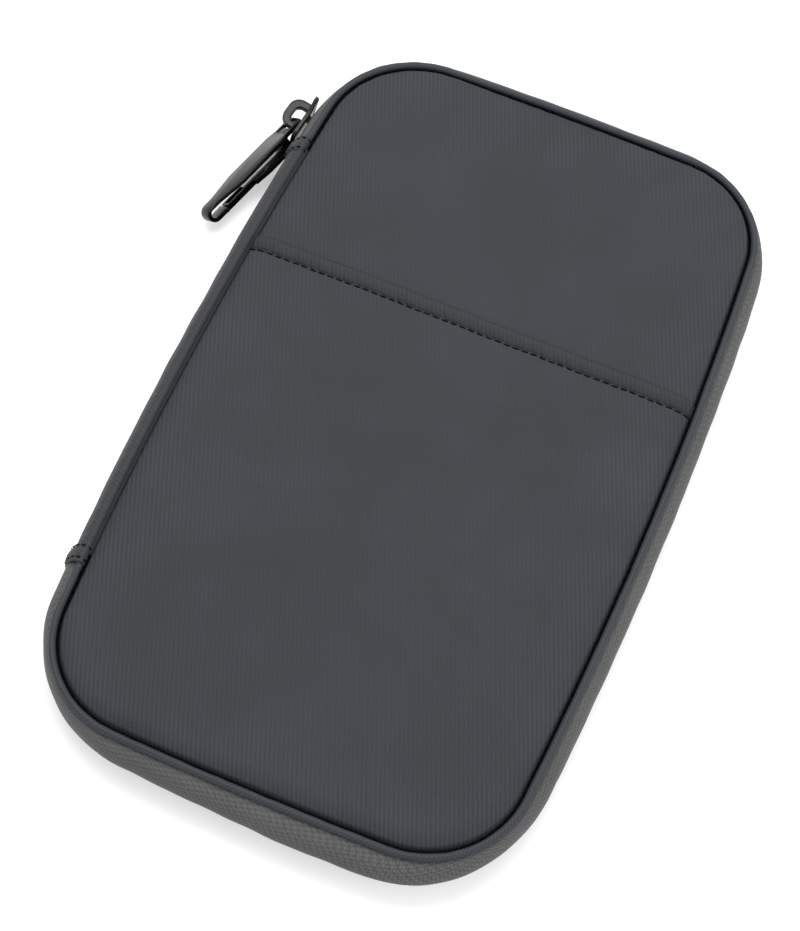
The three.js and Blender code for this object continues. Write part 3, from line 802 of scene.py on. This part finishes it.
def wall_rows(section, side, stop, seed):
    """Each point of the section run round the zip's three sides, from the spine and back to it."""
    rows = []
    for offset, height, extra in section:
        loop = outline(offset, extra)
        start = len(loop) // 2
        run = np.roll(loop, -start, 0)
        keep = ~((run[:, 0] < 0) & (np.abs(run[:, 1]) < stop))
        run = run[keep]
        along = np.arange(len(run)) / len(run) * WALL_LENGTH
        swell = along_noise(along, seed, (14, 23, 41, 90), 0.16)
        push = np.clip((offset - WALL_FOOT) / (WALL_BULGE - WALL_FOOT), 0, 1)
        out = outline(offset + 1, extra)
        out = np.roll(out, -start, 0)[keep] - run
        foot = np.clip((-run[:, 1] - 90) / 18, 0, 1) * np.clip((run[:, 0] + 50) / 60, 0, 1)
        swollen = FOOT_SWELL * foot if side > 0 else 0 * foot
        xy = run + out * ((swell + swollen) * push)[:, None]
        z = HALF_THICKNESS + side * np.full(len(run), height)
        rows.append(np.column_stack([xy, z]))
    return rows


def zip_wall(name, side):
    """One half's wall as a single band with a turned edge at the zip."""
    section = wall_section()
    rows = wall_rows(section, side, SPINE_END - 3, 31 if side > 0 else 33)
    count = min(len(r) for r in rows)
    rows = np.array([r[:count] for r in rows])
    flat = rows[0][:, :2]
    u = np.concatenate([[0], np.cumsum(np.linalg.norm(np.diff(flat, axis=0), axis=1))]) * MM
    profile = np.array([(o, h) for o, h, _ in section])
    v = np.concatenate([[0], np.cumsum(np.linalg.norm(np.diff(profile, axis=0), axis=1))]) * MM
    # The ring starts and ends at the spine, so it isn't closed there.
    mesh = grid_mesh(name, rows, uv=(u, v))
    outer = list(mesh.polygons)[: WALL_STEPS * (count - 1)]
    if sum(f.area * f.normal.dot(f.center) for f in outer) < 0:
        mesh.flip_normals()
    return add_piece(name, mesh, wall_cloth)


front_wall = zip_wall("front_wall", 1)
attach(front_wall, "front_half")
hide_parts("front_zip_tape")
back_wall = zip_wall("back_wall", -1)
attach(back_wall, "back_half")
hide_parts("back_zip_tape")

# ---- Zip coil ---------------------------------------------------------------------------------
# Dark nylon coils sewn to the inside of each tape, their turns meshing half a pitch apart.

coil_nylon, nodes, links, shader = new_material("coil_nylon")
place = nodes.new("ShaderNodeTexCoord")
speck = nodes.new("ShaderNodeTexNoise")
speck.inputs["Scale"].default_value = 900
links.new(place.outputs["Object"], speck.inputs["Vector"])
ramp = nodes.new("ShaderNodeValToRGB")
ramp.color_ramp.elements[0].color = (0.008, 0.008, 0.009, 1)
ramp.color_ramp.elements[1].color = (0.02, 0.02, 0.022, 1)
links.new(speck.outputs["Fac"], ramp.inputs["Fac"])
links.new(ramp.outputs["Color"], shader.inputs["Base Color"])
shader.inputs["Roughness"].default_value = 0.34

COIL_OFFSET, COIL_HEIGHT, COIL_PITCH = 3.75, 0.62, 1.5


def coil_line(side):
    """The middle of one coil, from the top tab round the zip's three sides to the bottom tab."""
    loop = np.roll(outline(COIL_OFFSET, WALL_EXTRA), -len(outline()) // 2, 0)
    keep = ~((loop[:, 0] < 0) & (np.abs(loop[:, 1]) < SPINE_END))
    run = loop[keep]
    z = np.full(len(run), HALF_THICKNESS + side * COIL_HEIGHT)
    return np.column_stack([run, z])


for side, half in ((1, "front"), (-1, "back")):
    line = coil_line(side)
    if side < 0:
        step = line[1] - line[0]
        line[0] = line[0] + step / np.linalg.norm(step) * COIL_PITCH / 2
    coil = bead_piece(
        half + "_coil",
        [(line, False)],
        coil_nylon,
        spacing=COIL_PITCH,
        along=0.72,
        across=1.5,
        high=1.5,
        jitter=0.0,
    )
    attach(coil, half + "_half")
    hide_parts(half + "_zip_coil")

# ---- Spine ------------------------------------------------------------------------------------
# A plain band of twill between the two tabs joins the covers and folds when the case opens. It is
# lined inside, and it wavers a little because nothing stiffens it.

SPINE_Y = np.linspace(-(SPINE_END - 3), SPINE_END - 3, 260)


def left_x(y, offset, extra=0.0):
    """X of the spine-side outline at that Y."""
    loop = outline(offset, extra)
    side = loop[loop[:, 0] < -SEAM_HALF_WIDTH * 0.3]
    side = side[np.argsort(side[:, 1])]
    return np.interp(y, side[:, 1], side[:, 0])


joints = {joint["name"]: joint for joint in frame["joints"]}

# Each half is cut to the width from the seam to the middle of the spine.
SPINE_SEAM_TO_MIDDLE = 10.5
# The cloth is turned in at the seam and covers the piping: offset from the seam, and height.
SPINE_CREST = 7.25
SPINE_SECTION = [
    (0.35, 5.3),
    (0.5, 6.3),
    (0.9, 7.0),
    (1.6, SPINE_CREST),
    (2.5, 7.0),
    (3.4, 6.3),
    (4.2, 5.2),
    (4.8, 4.0),
    (5.2, 2.8),
    (5.42, 1.5),
    (5.5, 0.0),
]


def spine_section(shrink=0.0):
    """The section finely spaced, with how far each point is from the seam to the middle, 0 to 1."""
    points = np.array(SPINE_SECTION)
    run = np.concatenate([[0], np.cumsum(np.linalg.norm(np.diff(points, axis=0), axis=1))])
    fine = np.linspace(0, run[-1], 25)
    offset, height = np.interp(fine, run, points[:, 0]), np.interp(fine, run, points[:, 1])
    return np.column_stack([offset - shrink, height * (1 - shrink / SPINE_CREST), fine / run[-1]])


def bend_with_cover(piece, side):
    """Cloth over the hinge line, with its placement baked into its mesh."""
    if side > 0:
        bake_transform(piece)
    else:
        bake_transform(piece)


def spine_band(name, side, shrink, material, seed):
    """Half the spine's height, from one piping to the middle."""
    rows = []
    for offset, height, share in spine_section(shrink):
        x = left_x(SPINE_Y, offset, WALL_EXTRA * share)
        x = x - along_noise(SPINE_Y, seed, (11, 19, 34, 70), 0.3) * share**2
        ruck = along_noise(SPINE_Y + 5 * share, seed + 1, (2.4, 3.3, 4.6), 0.2) * (1 - share) ** 2
        z = HALF_THICKNESS + side * (height + ruck)
        rows.append(np.column_stack([x, SPINE_Y, z]))
    u, v = SPINE_Y * MM, spine_section()[:, 2] * SPINE_SEAM_TO_MIDDLE * MM
    mesh = turn_outwards(grid_mesh(name, np.array(rows), uv=(u, v)))
    piece = add_piece(name, mesh, material)
    bend_with_cover(piece, side)
    return piece


spine_cloth = cloth_material(
    "spine_cloth",
    (0.0205, 0.0222, 0.0252),
    (0.0335, 0.0355, 0.0395),
    roughness=0.58,
    twill=0.00055,
    rib=0.0011,
    rib_angle=20,
    strength=0.6,
    on_uv=True,
)
lining_cloth = cloth_material(
    "lining_cloth",
    (0.012, 0.013, 0.016),
    (0.022, 0.0238, 0.028),
    roughness=0.66,
    twill=0.0004,
    rib=0.0008,
    rib_angle=0,
    strength=0.4,
)
spine_front = spine_band("spine_band_front", 1, 0, spine_cloth, 41)
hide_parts("spine_gusset")
spine_back = spine_band("spine_band_back", -1, 0, spine_cloth, 41)
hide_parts("spine_gusset")
spine_lining_front = spine_band("spine_lining_front", 1, 1.0, lining_cloth, 41)
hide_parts("spine_lining")
spine_lining_back = spine_band("spine_lining_back", -1, 1.0, lining_cloth, 41)
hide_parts("spine_lining")

# ---- Spine tabs -------------------------------------------------------------------------------
# A short strip of the same twill is folded over each end of the spine and sewn across twice, to
# hide the cut ends of the zip tapes.

TAB_LENGTH = 5.2
TAB_SWELL = 0.45
# How far along the tab each row of stitches pulls it down, as a share of its length.
TAB_STITCHES = (0.13, 0.8)


def spine_tab(name, sign, node, side):
    """Half of the tab at one end of the spine, puffed between its two rows of stitches."""
    y0 = sign * (SPINE_END - TAB_LENGTH + 0.6)
    y1 = sign * (SPINE_END + 0.5)
    t = np.linspace(0, 1, 34)
    ys = y0 + (y1 - y0) * t
    puff = 0.5 + 0.42 * np.sin(math.pi * t) ** 0.6
    for dent in TAB_STITCHES:
        puff = puff - 0.34 * np.exp(-(((t - dent) / 0.06) ** 2))
    puff = puff + along_noise(ys, 51, (2.1, 3.7), 0.08)
    puff[0] = puff[-1] = -0.55
    section = spine_section()
    rows = []
    for offset, height, share in section:
        out = puff * (0.75 + 0.25 * share) + TAB_SWELL * share**2 * np.sin(math.pi * t)
        x = left_x(ys, offset, WALL_EXTRA * share) - out * share
        z = HALF_THICKNESS + side * (height + out * (1 - share) * 0.8)
        rows.append(np.column_stack([x, ys, z]))
    mesh = grid_mesh(
        name,
        np.array(rows),
        uv=(ys * MM, section[:, 2] * SPINE_SEAM_TO_MIDDLE * MM),
    )
    piece = add_piece(name, turn_outwards(merged(mesh)), spine_cloth)
    solid = piece.modifiers.new("cloth_fold", "SOLIDIFY")
    solid.thickness = 0.5 * MM
    solid.offset = -1
    bend_with_cover(piece, side)
    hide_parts(node)
    lines = []
    for dent in TAB_STITCHES:
        line = []
        y = y0 + (y1 - y0) * dent
        for offset, height, share in section[2:]:
            out = 0.72 + TAB_SWELL * share**2 * math.sin(math.pi * dent)
            x = left_x(y, offset, WALL_EXTRA * share) - out * share
            z = HALF_THICKNESS + side * (height + out * (1 - share) * 0.8)
            line.append((x, y + 0.12 * math.sin(7 * share), z))
        lines.append((line, False))
    stitches = bead_piece(
        name + "_stitches",
        lines,
        thread,
        spacing=1.9,
        along=1.35,
        across=0.42,
        high=0.4,
        jitter=0.08,
    )
    bend_with_cover(stitches, side)


for side, part in ((1, "front"), (-1, "back")):
    spine_tab("tab_top_" + part, 1, "spine_tab_top", side)
    spine_tab("tab_bottom_" + part, -1, "spine_tab_bottom", side)

# ---- Back cover -------------------------------------------------------------------------------
# The plain cover that the wallet lies on: the same padded twill without a pocket.

back_rows = cover_rows(SEAM_HEIGHT - GROOVE_DEPTH, HALF_THICKNESS - 0.02, 0.0, 14)
back_rows[..., 2] = np.minimum(back_rows[..., 2], HALF_THICKNESS)
back_cover = add_piece("back_cover", padded_cover("back_cover", back_rows, -1), shell_cloth)
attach(back_cover, "back_half")
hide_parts("back_panel", "back_foam")
back_seam = seam_stitches("back_seam_stitches", -1)
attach(back_seam, "back_half")

# ---- Linings and inner pockets ----------------------------------------------------------------
# Plain woven nylon lines both covers. Notes and cards go behind stepped pockets in the front
# cover, tickets and the passport behind two deeper ones in the back cover, each with a bound edge.


LINING_INSET, INNER_POCKET_INSET = 0.8, 2.2
LINING_THICKNESS = 0.3
binding_tape = cloth_material(
    "binding_tape",
    (0.012, 0.013, 0.016),
    (0.026, 0.028, 0.033),
    roughness=0.6,
    twill=0.0004,
    rib=0.0009,
    rib_angle=90,
    strength=0.6,
)


def bound_edge(name, low, high, middle, inset):
    """A tape folded over a pocket's open edge, as a flattened tube from side to side."""
    top = high.y / MM
    xs = np.linspace(low.x / MM + 0.6, high.x / MM - 0.6, 160)
    limit = -left_x(np.full(1, top), -inset)[0]
    xs = np.clip(xs, -limit, limit)
    section = []
    for a in np.linspace(0, 2 * math.pi, 10, endpoint=False):
        y = top - 1.0 + 1.25 * math.cos(a)
        h = middle + 0.3 * math.sin(a) * (1 if abs(math.cos(a)) < 0.9 else 0.6)
        section.append(np.column_stack([xs, np.full(len(xs), y), np.full(len(xs), h)]))
    mesh = grid_mesh(name, np.array(section), wrap_rows=True)
    return add_piece(name, merged(mesh, outward=True), binding_tape)


def inner_layer(name, node, body, inset):
    """The cloth of a lining, or of a pocket that ends below it in a bound edge."""
    low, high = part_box(node)
    middle = (low.z + high.z) / 2 / MM
    top = high.y / MM
    full = top > SEAM_HALF_LENGTH - 4
    loops = [outline(-inset - more) for more in (0, 1.5, 4, 8, 14, 20)]
    edge = loops[-1]
    line = np.column_stack([np.zeros(len(edge)), edge[:, 1] * 0.6])
    for t in np.linspace(0, 1, 14)[1:]:
        loops.append(edge * (1 - t) + line * t)
    # Every layer of one cover swells together, so that none shows through the one over it.
    z = [middle + undulation(loop, 0.06, 45, 60) for loop in loops]
    rows = np.array([np.column_stack([loop, h]) for loop, h in zip(loops, z)])
    mesh = merged(grid_mesh(name, rows, wrap_cols=True, flip=body == "front_half"))
    if not full:
        cut_above(mesh, top)
    piece = add_piece(name, mesh, lining_cloth)
    solid = piece.modifiers.new("cloth", "SOLIDIFY")
    solid.thickness = LINING_THICKNESS * MM
    solid.offset = 0
    # Rounded corners leave the cloth smaller than the box it is cut from.
    if not full:
        binding = bound_edge(name + "_binding", low, high, middle, inset)
        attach(binding, body)
    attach(piece, body)
    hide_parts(node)


inner_layer("front_lining_cloth", "front_lining", "front_half", LINING_INSET)
inner_layer("back_lining_cloth", "back_lining", "back_half", LINING_INSET)
for node in ("note_pocket", "card_pocket_upper", "card_pocket_middle", "card_pocket_lower"):
    inner_layer(node + "_cloth", node, "front_half", INNER_POCKET_INSET)
for node in ("ticket_pocket", "passport_pocket"):
    inner_layer(node + "_cloth", node, "back_half", INNER_POCKET_INSET)

# ---- Slider -----------------------------------------------------------------------------------
# Cast zinc slider plated in dark gunmetal: a curved plate over the tapes, a smaller one inside,
# and a broad arch on top that the pull hangs from.


def metal_material(name, dark, light, roughness, brush):
    """Plated metal with fine brushing, faint blotches in its shine and paler edges, partly from
    worn plating and partly a painted highlight.
    """
    material, nodes, links, shader = new_material(name)
    place = nodes.new("ShaderNodeTexCoord")
    stretch = nodes.new("ShaderNodeMapping")
    stretch.inputs["Scale"].default_value = (brush, brush * 0.05, brush)
    links.new(place.outputs["Object"], stretch.inputs["Vector"])
    scratches = nodes.new("ShaderNodeTexNoise")
    scratches.inputs["Scale"].default_value = 1
    scratches.inputs["Detail"].default_value = 3
    links.new(stretch.outputs["Vector"], scratches.inputs["Vector"])
    blotch = nodes.new("ShaderNodeTexNoise")
    blotch.inputs["Scale"].default_value = 260
    links.new(place.outputs["Object"], blotch.inputs["Vector"])
    # Pointiness pales the sharp edges: partly worn plating, partly a painted highlight where the
    # bevels catch the light.
    edge = nodes.new("ShaderNodeNewGeometry")
    edge_wear_and_highlight = nodes.new("ShaderNodeMapRange")
    edge_wear_and_highlight.inputs["From Min"].default_value = 0.52
    edge_wear_and_highlight.inputs["From Max"].default_value = 0.66
    links.new(edge.outputs["Pointiness"], edge_wear_and_highlight.inputs["Value"])
    tone = math_node(
        nodes,
        links,
        "ADD",
        math_node(nodes, links, "MULTIPLY", scratches.outputs["Fac"], 0.6),
        math_node(nodes, links, "MULTIPLY", edge_wear_and_highlight.outputs["Result"], 0.35),
    )
    ramp = nodes.new("ShaderNodeValToRGB")
    ramp.color_ramp.elements[0].color = (*dark, 1)
    ramp.color_ramp.elements[1].color = (*light, 1)
    links.new(tone, ramp.inputs["Fac"])
    links.new(ramp.outputs["Color"], shader.inputs["Base Color"])
    rough = nodes.new("ShaderNodeMapRange")
    rough.inputs["To Min"].default_value = roughness - 0.06
    rough.inputs["To Max"].default_value = roughness + 0.08
    links.new(blotch.outputs["Fac"], rough.inputs["Value"])
    links.new(rough.outputs["Result"], shader.inputs["Roughness"])
    bump = nodes.new("ShaderNodeBump")
    bump.inputs["Strength"].default_value = 0.12
    bump.inputs["Distance"].default_value = 0.00004
    links.new(scratches.outputs["Fac"], bump.inputs["Height"])
    links.new(bump.outputs["Normal"], shader.inputs["Normal"])
    shader.inputs["Metallic"].default_value = 1.0
    return material


gunmetal = metal_material("gunmetal", (0.014, 0.0137, 0.013), (0.05, 0.0488, 0.0465), 0.27, 9000)
dark_gunmetal = metal_material(
    "dark_gunmetal", (0.012, 0.012, 0.012), (0.045, 0.044, 0.043), 0.2, 7000
)


def round_edges(piece, width, angle):
    """Rounds every edge sharper than that angle, and keeps the result as the piece's own mesh."""
    bevel = piece.modifiers.new("edges", "BEVEL")
    bevel.width = width * MM
    bevel.segments = 3
    bevel.limit_method = "ANGLE"
    bevel.angle_limit = math.radians(angle)
    graph = bpy.context.evaluated_depsgraph_get()
    rounded = bpy.data.meshes.new_from_object(piece.evaluated_get(graph))
    piece.modifiers.clear()
    piece.data = rounded
    rounded.name = piece.name
    return rounded


def shade_casting(mesh, angle):
    """Smooth faces that meet sharply only past that angle."""
    mesh.polygons.foreach_set("use_smooth", np.ones(len(mesh.polygons), bool))
    mesh.set_sharp_from_angle(angle=math.radians(angle))


def softened(name, node, finish, body, width):
    """A cast piece with its edges rounded, from the fitted shape of that node."""
    mesh = frame["nodes"][node].data.copy()
    mesh.name = name
    b = bmesh.new()
    b.from_mesh(mesh)
    bmesh.ops.remove_doubles(b, verts=b.verts, dist=2e-6)
    bmesh.ops.dissolve_limit(b, angle_limit=math.radians(2), verts=b.verts, edges=b.edges)
    b.to_mesh(mesh)
    b.free()
    piece = add_piece(name, mesh, finish)
    shade_casting(round_edges(piece, width, 28), 32)
    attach(piece, body)
    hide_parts(node)


# The slider stands a little way round the corner and rolls over towards the front: how far it has
# turned from the spine side, its roll, and its distance from the middle of the corner.
SLIDER_TURN, SLIDER_ROLL = math.radians(6.5), math.radians(10)
SLIDER_RADIUS = CORNER_RADIUS + 10.0
corner_centre = Vector(joints["slider_travel"]["pos_m"]) / MM
outward = Vector((-math.cos(SLIDER_TURN), math.sin(SLIDER_TURN), 0))
upward = Vector((0, 0, 1))
SLIDER_CENTRE = corner_centre + outward * SLIDER_RADIUS
SLIDER_ALONG = Vector((math.sin(SLIDER_TURN), math.cos(SLIDER_TURN), 0))
SLIDER_OUT = outward * math.cos(SLIDER_ROLL) + upward * math.sin(SLIDER_ROLL)
SLIDER_UP = upward * math.cos(SLIDER_ROLL) - outward * math.sin(SLIDER_ROLL)


def cast_plate(name, plan, axes, origin, low, high, finish, body, bevel, bend=None):
    """A flat cast shape: a plan in the first two axes, between two depths on the third."""
    b = bmesh.new()
    layers = []
    for depth in (low, high):
        ring = []
        for p, q in plan:
            lift = bend(p) if bend else 0
            place = origin + axes[0] * p + axes[1] * q + axes[2] * (depth + lift)
            ring.append(b.verts.new(place * MM))
        layers.append(ring)
    b.faces.new(layers[0][::-1])
    b.faces.new(layers[1])
    count = len(plan)
    for k in range(count):
        n = (k + 1) % count
        b.faces.new((layers[0][k], layers[0][n], layers[1][n], layers[1][k]))
    bmesh.ops.recalc_face_normals(b, faces=b.faces)
    mesh = bpy.data.meshes.new(name)
    b.to_mesh(mesh)
    b.free()
    piece = add_piece(name, mesh, finish)
    rounded = round_edges(piece, bevel, 40)
    b = bmesh.new()
    b.from_mesh(rounded)
    bmesh.ops.triangulate(b, faces=[f for f in b.faces if len(f.verts) > 4])
    bmesh.ops.recalc_face_normals(b, faces=b.faces)
    b.to_mesh(rounded)
    b.free()
    shade_casting(rounded, 35)
    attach(piece, body)
    return piece


def corner_arc(cx, cy, radius, start, end, steps=8):
    """Points of an arc between two angles in degrees, with both its ends."""
    turns = np.radians(np.linspace(start, end, steps))
    return [(cx + radius * math.cos(t), cy + radius * math.sin(t)) for t in turns]


# The crown is a broad C of flat strip, thick at its tail and top and thin where it meets the nose.
crown_outer = (
    [(4.2, 2.0)]
    + corner_arc(0.8, 4.6, 3.4, 0, 90)
    + corner_arc(-2.0, 4.6, 3.4, 90, 180)
    + [(-5.4, 2.0)]
)
crown_inner = (
    [(-3.7, 2.0)]
    + corner_arc(-2.2, 4.1, 1.5, 180, 90, 6)
    + corner_arc(0.3, 4.1, 1.5, 90, 0, 6)
    + [(1.8, 2.0)]
)
crown_plan = crown_outer + crown_inner
axes = (SLIDER_ALONG, SLIDER_OUT, SLIDER_UP)
crown = cast_plate(
    "slider_arch", crown_plan, axes, SLIDER_CENTRE, -0.9, 0.9, gunmetal, "slider", 0.3
)
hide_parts("slider_crown")

plate_plan = (
    corner_arc(4.3, 0.0, 3.0, 80, -80, 9)
    + [(1.5, -4.1), (-4.5, -4.35)]
    + corner_arc(-7.2, -2.6, 1.6, -70, -170, 5)
    + corner_arc(-7.2, 2.6, 1.6, 170, 70, 5)
    + [(-4.5, 4.35), (1.5, 4.1)]
)
axes = (SLIDER_ALONG, SLIDER_UP, SLIDER_OUT)
outer_plate = cast_plate(
    "slider_outer_plate",
    plate_plan,
    axes,
    SLIDER_CENTRE,
    0.95,
    2.2,
    gunmetal,
    "slider",
    0.35,
    # The nose curves away from the wall.
    lambda p: 0.055 * max(0.0, p - 2.5) ** 2,
)
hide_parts("slider_body")
inner_plan = corner_arc(3.6, 0, 1.8, 90, -90, 8) + corner_arc(-3.6, 0, 1.8, -90, -270, 8)
cast_plate(
    "slider_inner_plate", inner_plan, axes, SLIDER_CENTRE, -4.5, -3.7, gunmetal, "slider", 0.2
)
post_plan = corner_arc(0.95, 0, 0.3, 90, -90, 5) + corner_arc(-0.95, 0, 0.3, -90, -270, 5)
cast_plate(
    "slider_post", post_plan, axes, SLIDER_CENTRE, -3.9, 1.3, dark_gunmetal, "slider", 0.05
)

# ---- Snap-hook pull ---------------------------------------------------------------------------
# A flat tapered plate bent into a hook, with a sprung gate that closes against the hook's tip.

softened("pull_plate", "pull_hook", gunmetal, "pull", 0.18)
softened("pull_gate", "hook_gate", dark_gunmetal, "gate", 0.12)
softened("pull_pin", "gate_pin", dark_gunmetal, "pull", 0.06)
# The pull hangs from its eye towards the spine's tab, turned about the same axis that it swings on.
PULL_EYE = Vector(joints["pull_swing"]["pos_m"]) / MM
PULL_ACROSS = -Vector(joints["pull_swing"]["axis"])
PULL_ALONG = Vector((-0.3025, -0.94701, -0.108)).normalized()
PULL_FACE = PULL_ALONG.cross(PULL_ACROSS).normalized()
pull_axes = (PULL_ALONG, PULL_ACROSS, PULL_FACE)
# Two webs fill the neck between the front plate and the back one.
neck_plan = [(3.3, -2.15), (5.7, -2.15), (5.7, 2.15), (3.3, 2.15)]
cast_plate("pull_neck_web", neck_plan, pull_axes, PULL_EYE, -0.4, 0.35, gunmetal, "pull", 0.1)
web_plan = [(5.9, -3.2), (7.7, -3.3), (7.7, 3.3), (5.9, 3.2)]
cast_plate(
    "pull_shoulder_web", web_plan, pull_axes, PULL_EYE, -3.0, -0.4, dark_gunmetal, "pull", 0.2
)
spring_steel = metal_material("spring_steel", (0.25, 0.25, 0.25), (0.4, 0.4, 0.41), 0.3, 8000)
spring = frame["nodes"]["gate_spring"]
spring.data.materials.clear()
spring.data.materials.append(spring_steel)

# ---- Floor, light and camera ------------------------------------------------------------------
# A pale table top under soft studio light, seen from above one corner.

REACH, TABLE_HEIGHT = 12.0, -0.0002
table_corners = [
    (x * REACH, y * REACH, TABLE_HEIGHT) for x, y in ((-1, -1), (1, -1), (1, 1), (-1, 1))
]
floor_mesh = bpy.data.meshes.new("table_top")
floor_mesh.from_pydata(table_corners, [], [(0, 1, 2, 3)])
floor_paint, nodes, links, shader = new_material("table_paint")
place = nodes.new("ShaderNodeTexCoord")
mottle = nodes.new("ShaderNodeTexNoise")
mottle.inputs["Scale"].default_value = 3
links.new(place.outputs["Object"], mottle.inputs["Vector"])
ramp = nodes.new("ShaderNodeValToRGB")
ramp.color_ramp.elements[0].color = (0.6, 0.6, 0.6, 1)
ramp.color_ramp.elements[1].color = (0.62, 0.62, 0.62, 1)
links.new(mottle.outputs["Fac"], ramp.inputs["Fac"])
links.new(ramp.outputs["Color"], shader.inputs["Base Color"])
shader.inputs["Roughness"].default_value = 0.9
shader.inputs["Specular IOR Level"].default_value = 0.1
shader.inputs["Emission Color"].default_value = (1.0, 1.0, 1.0, 1)
shader.inputs["Emission Strength"].default_value = 0.42
table_top = add_piece("table_top", floor_mesh, floor_paint)

world = bpy.data.worlds.new("studio")
bpy.context.scene.world = world
world.use_nodes = True
world.node_tree.nodes["Background"].inputs["Color"].default_value = (1.0, 1.0, 1.0, 1)
world.node_tree.nodes["Background"].inputs["Strength"].default_value = 1.0


def softbox(name, place, size, power):
    """A rectangular lamp at that place in metres, turned to the wallet."""
    light = bpy.data.lights.new(name, "AREA")
    light.shape = "RECTANGLE"
    light.size, light.size_y = size
    light.energy = power
    lamp = bpy.data.objects.new(name, light)
    lamp.location = place
    lamp.rotation_mode = "QUATERNION"
    lamp.rotation_quaternion = (-Vector(place)).to_track_quat("-Z", "Y")
    bpy.context.scene.collection.objects.link(lamp)


softbox("overhead_softbox", (-0.15, 0.35, 0.9), (0.9, 0.7), 9.0)
softbox("side_softbox", (0.9, -0.2, 0.7), (0.6, 0.6), 3.0)

AZIMUTH, ELEVATION, ROLL = math.radians(17.64), math.radians(62.55), math.radians(5.84)
DISTANCE, SENSOR_WIDTH, FOCAL_LENGTH = 0.614, 36, 93.6348
TARGET = Vector((-0.00071, -0.01225, (HALF_THICKNESS + SEAM_HEIGHT) * MM))
back = Vector(
    (
        math.sin(AZIMUTH) * math.cos(ELEVATION),
        -math.cos(AZIMUTH) * math.cos(ELEVATION),
        math.sin(ELEVATION),
    )
)
right = Vector((math.cos(AZIMUTH), math.sin(AZIMUTH), 0))
up = back.cross(right)
camera_x = right * math.cos(ROLL) + up * math.sin(ROLL)
camera_y = -right * math.sin(ROLL) + up * math.cos(ROLL)
lens = bpy.data.cameras.new("camera")
lens.sensor_fit = "AUTO"
lens.sensor_width = SENSOR_WIDTH
lens.lens = FOCAL_LENGTH
camera = bpy.data.objects.new("camera", lens)
turn = Matrix((camera_x, camera_y, back)).transposed().to_4x4()
camera.matrix_world = Matrix.Translation(TARGET + back * DISTANCE) @ turn
lens.clip_start, lens.clip_end = 0.01, 20
bpy.context.scene.collection.objects.link(camera)
bpy.context.scene.camera = camera
bpy.context.scene.view_settings.view_transform = "Standard"
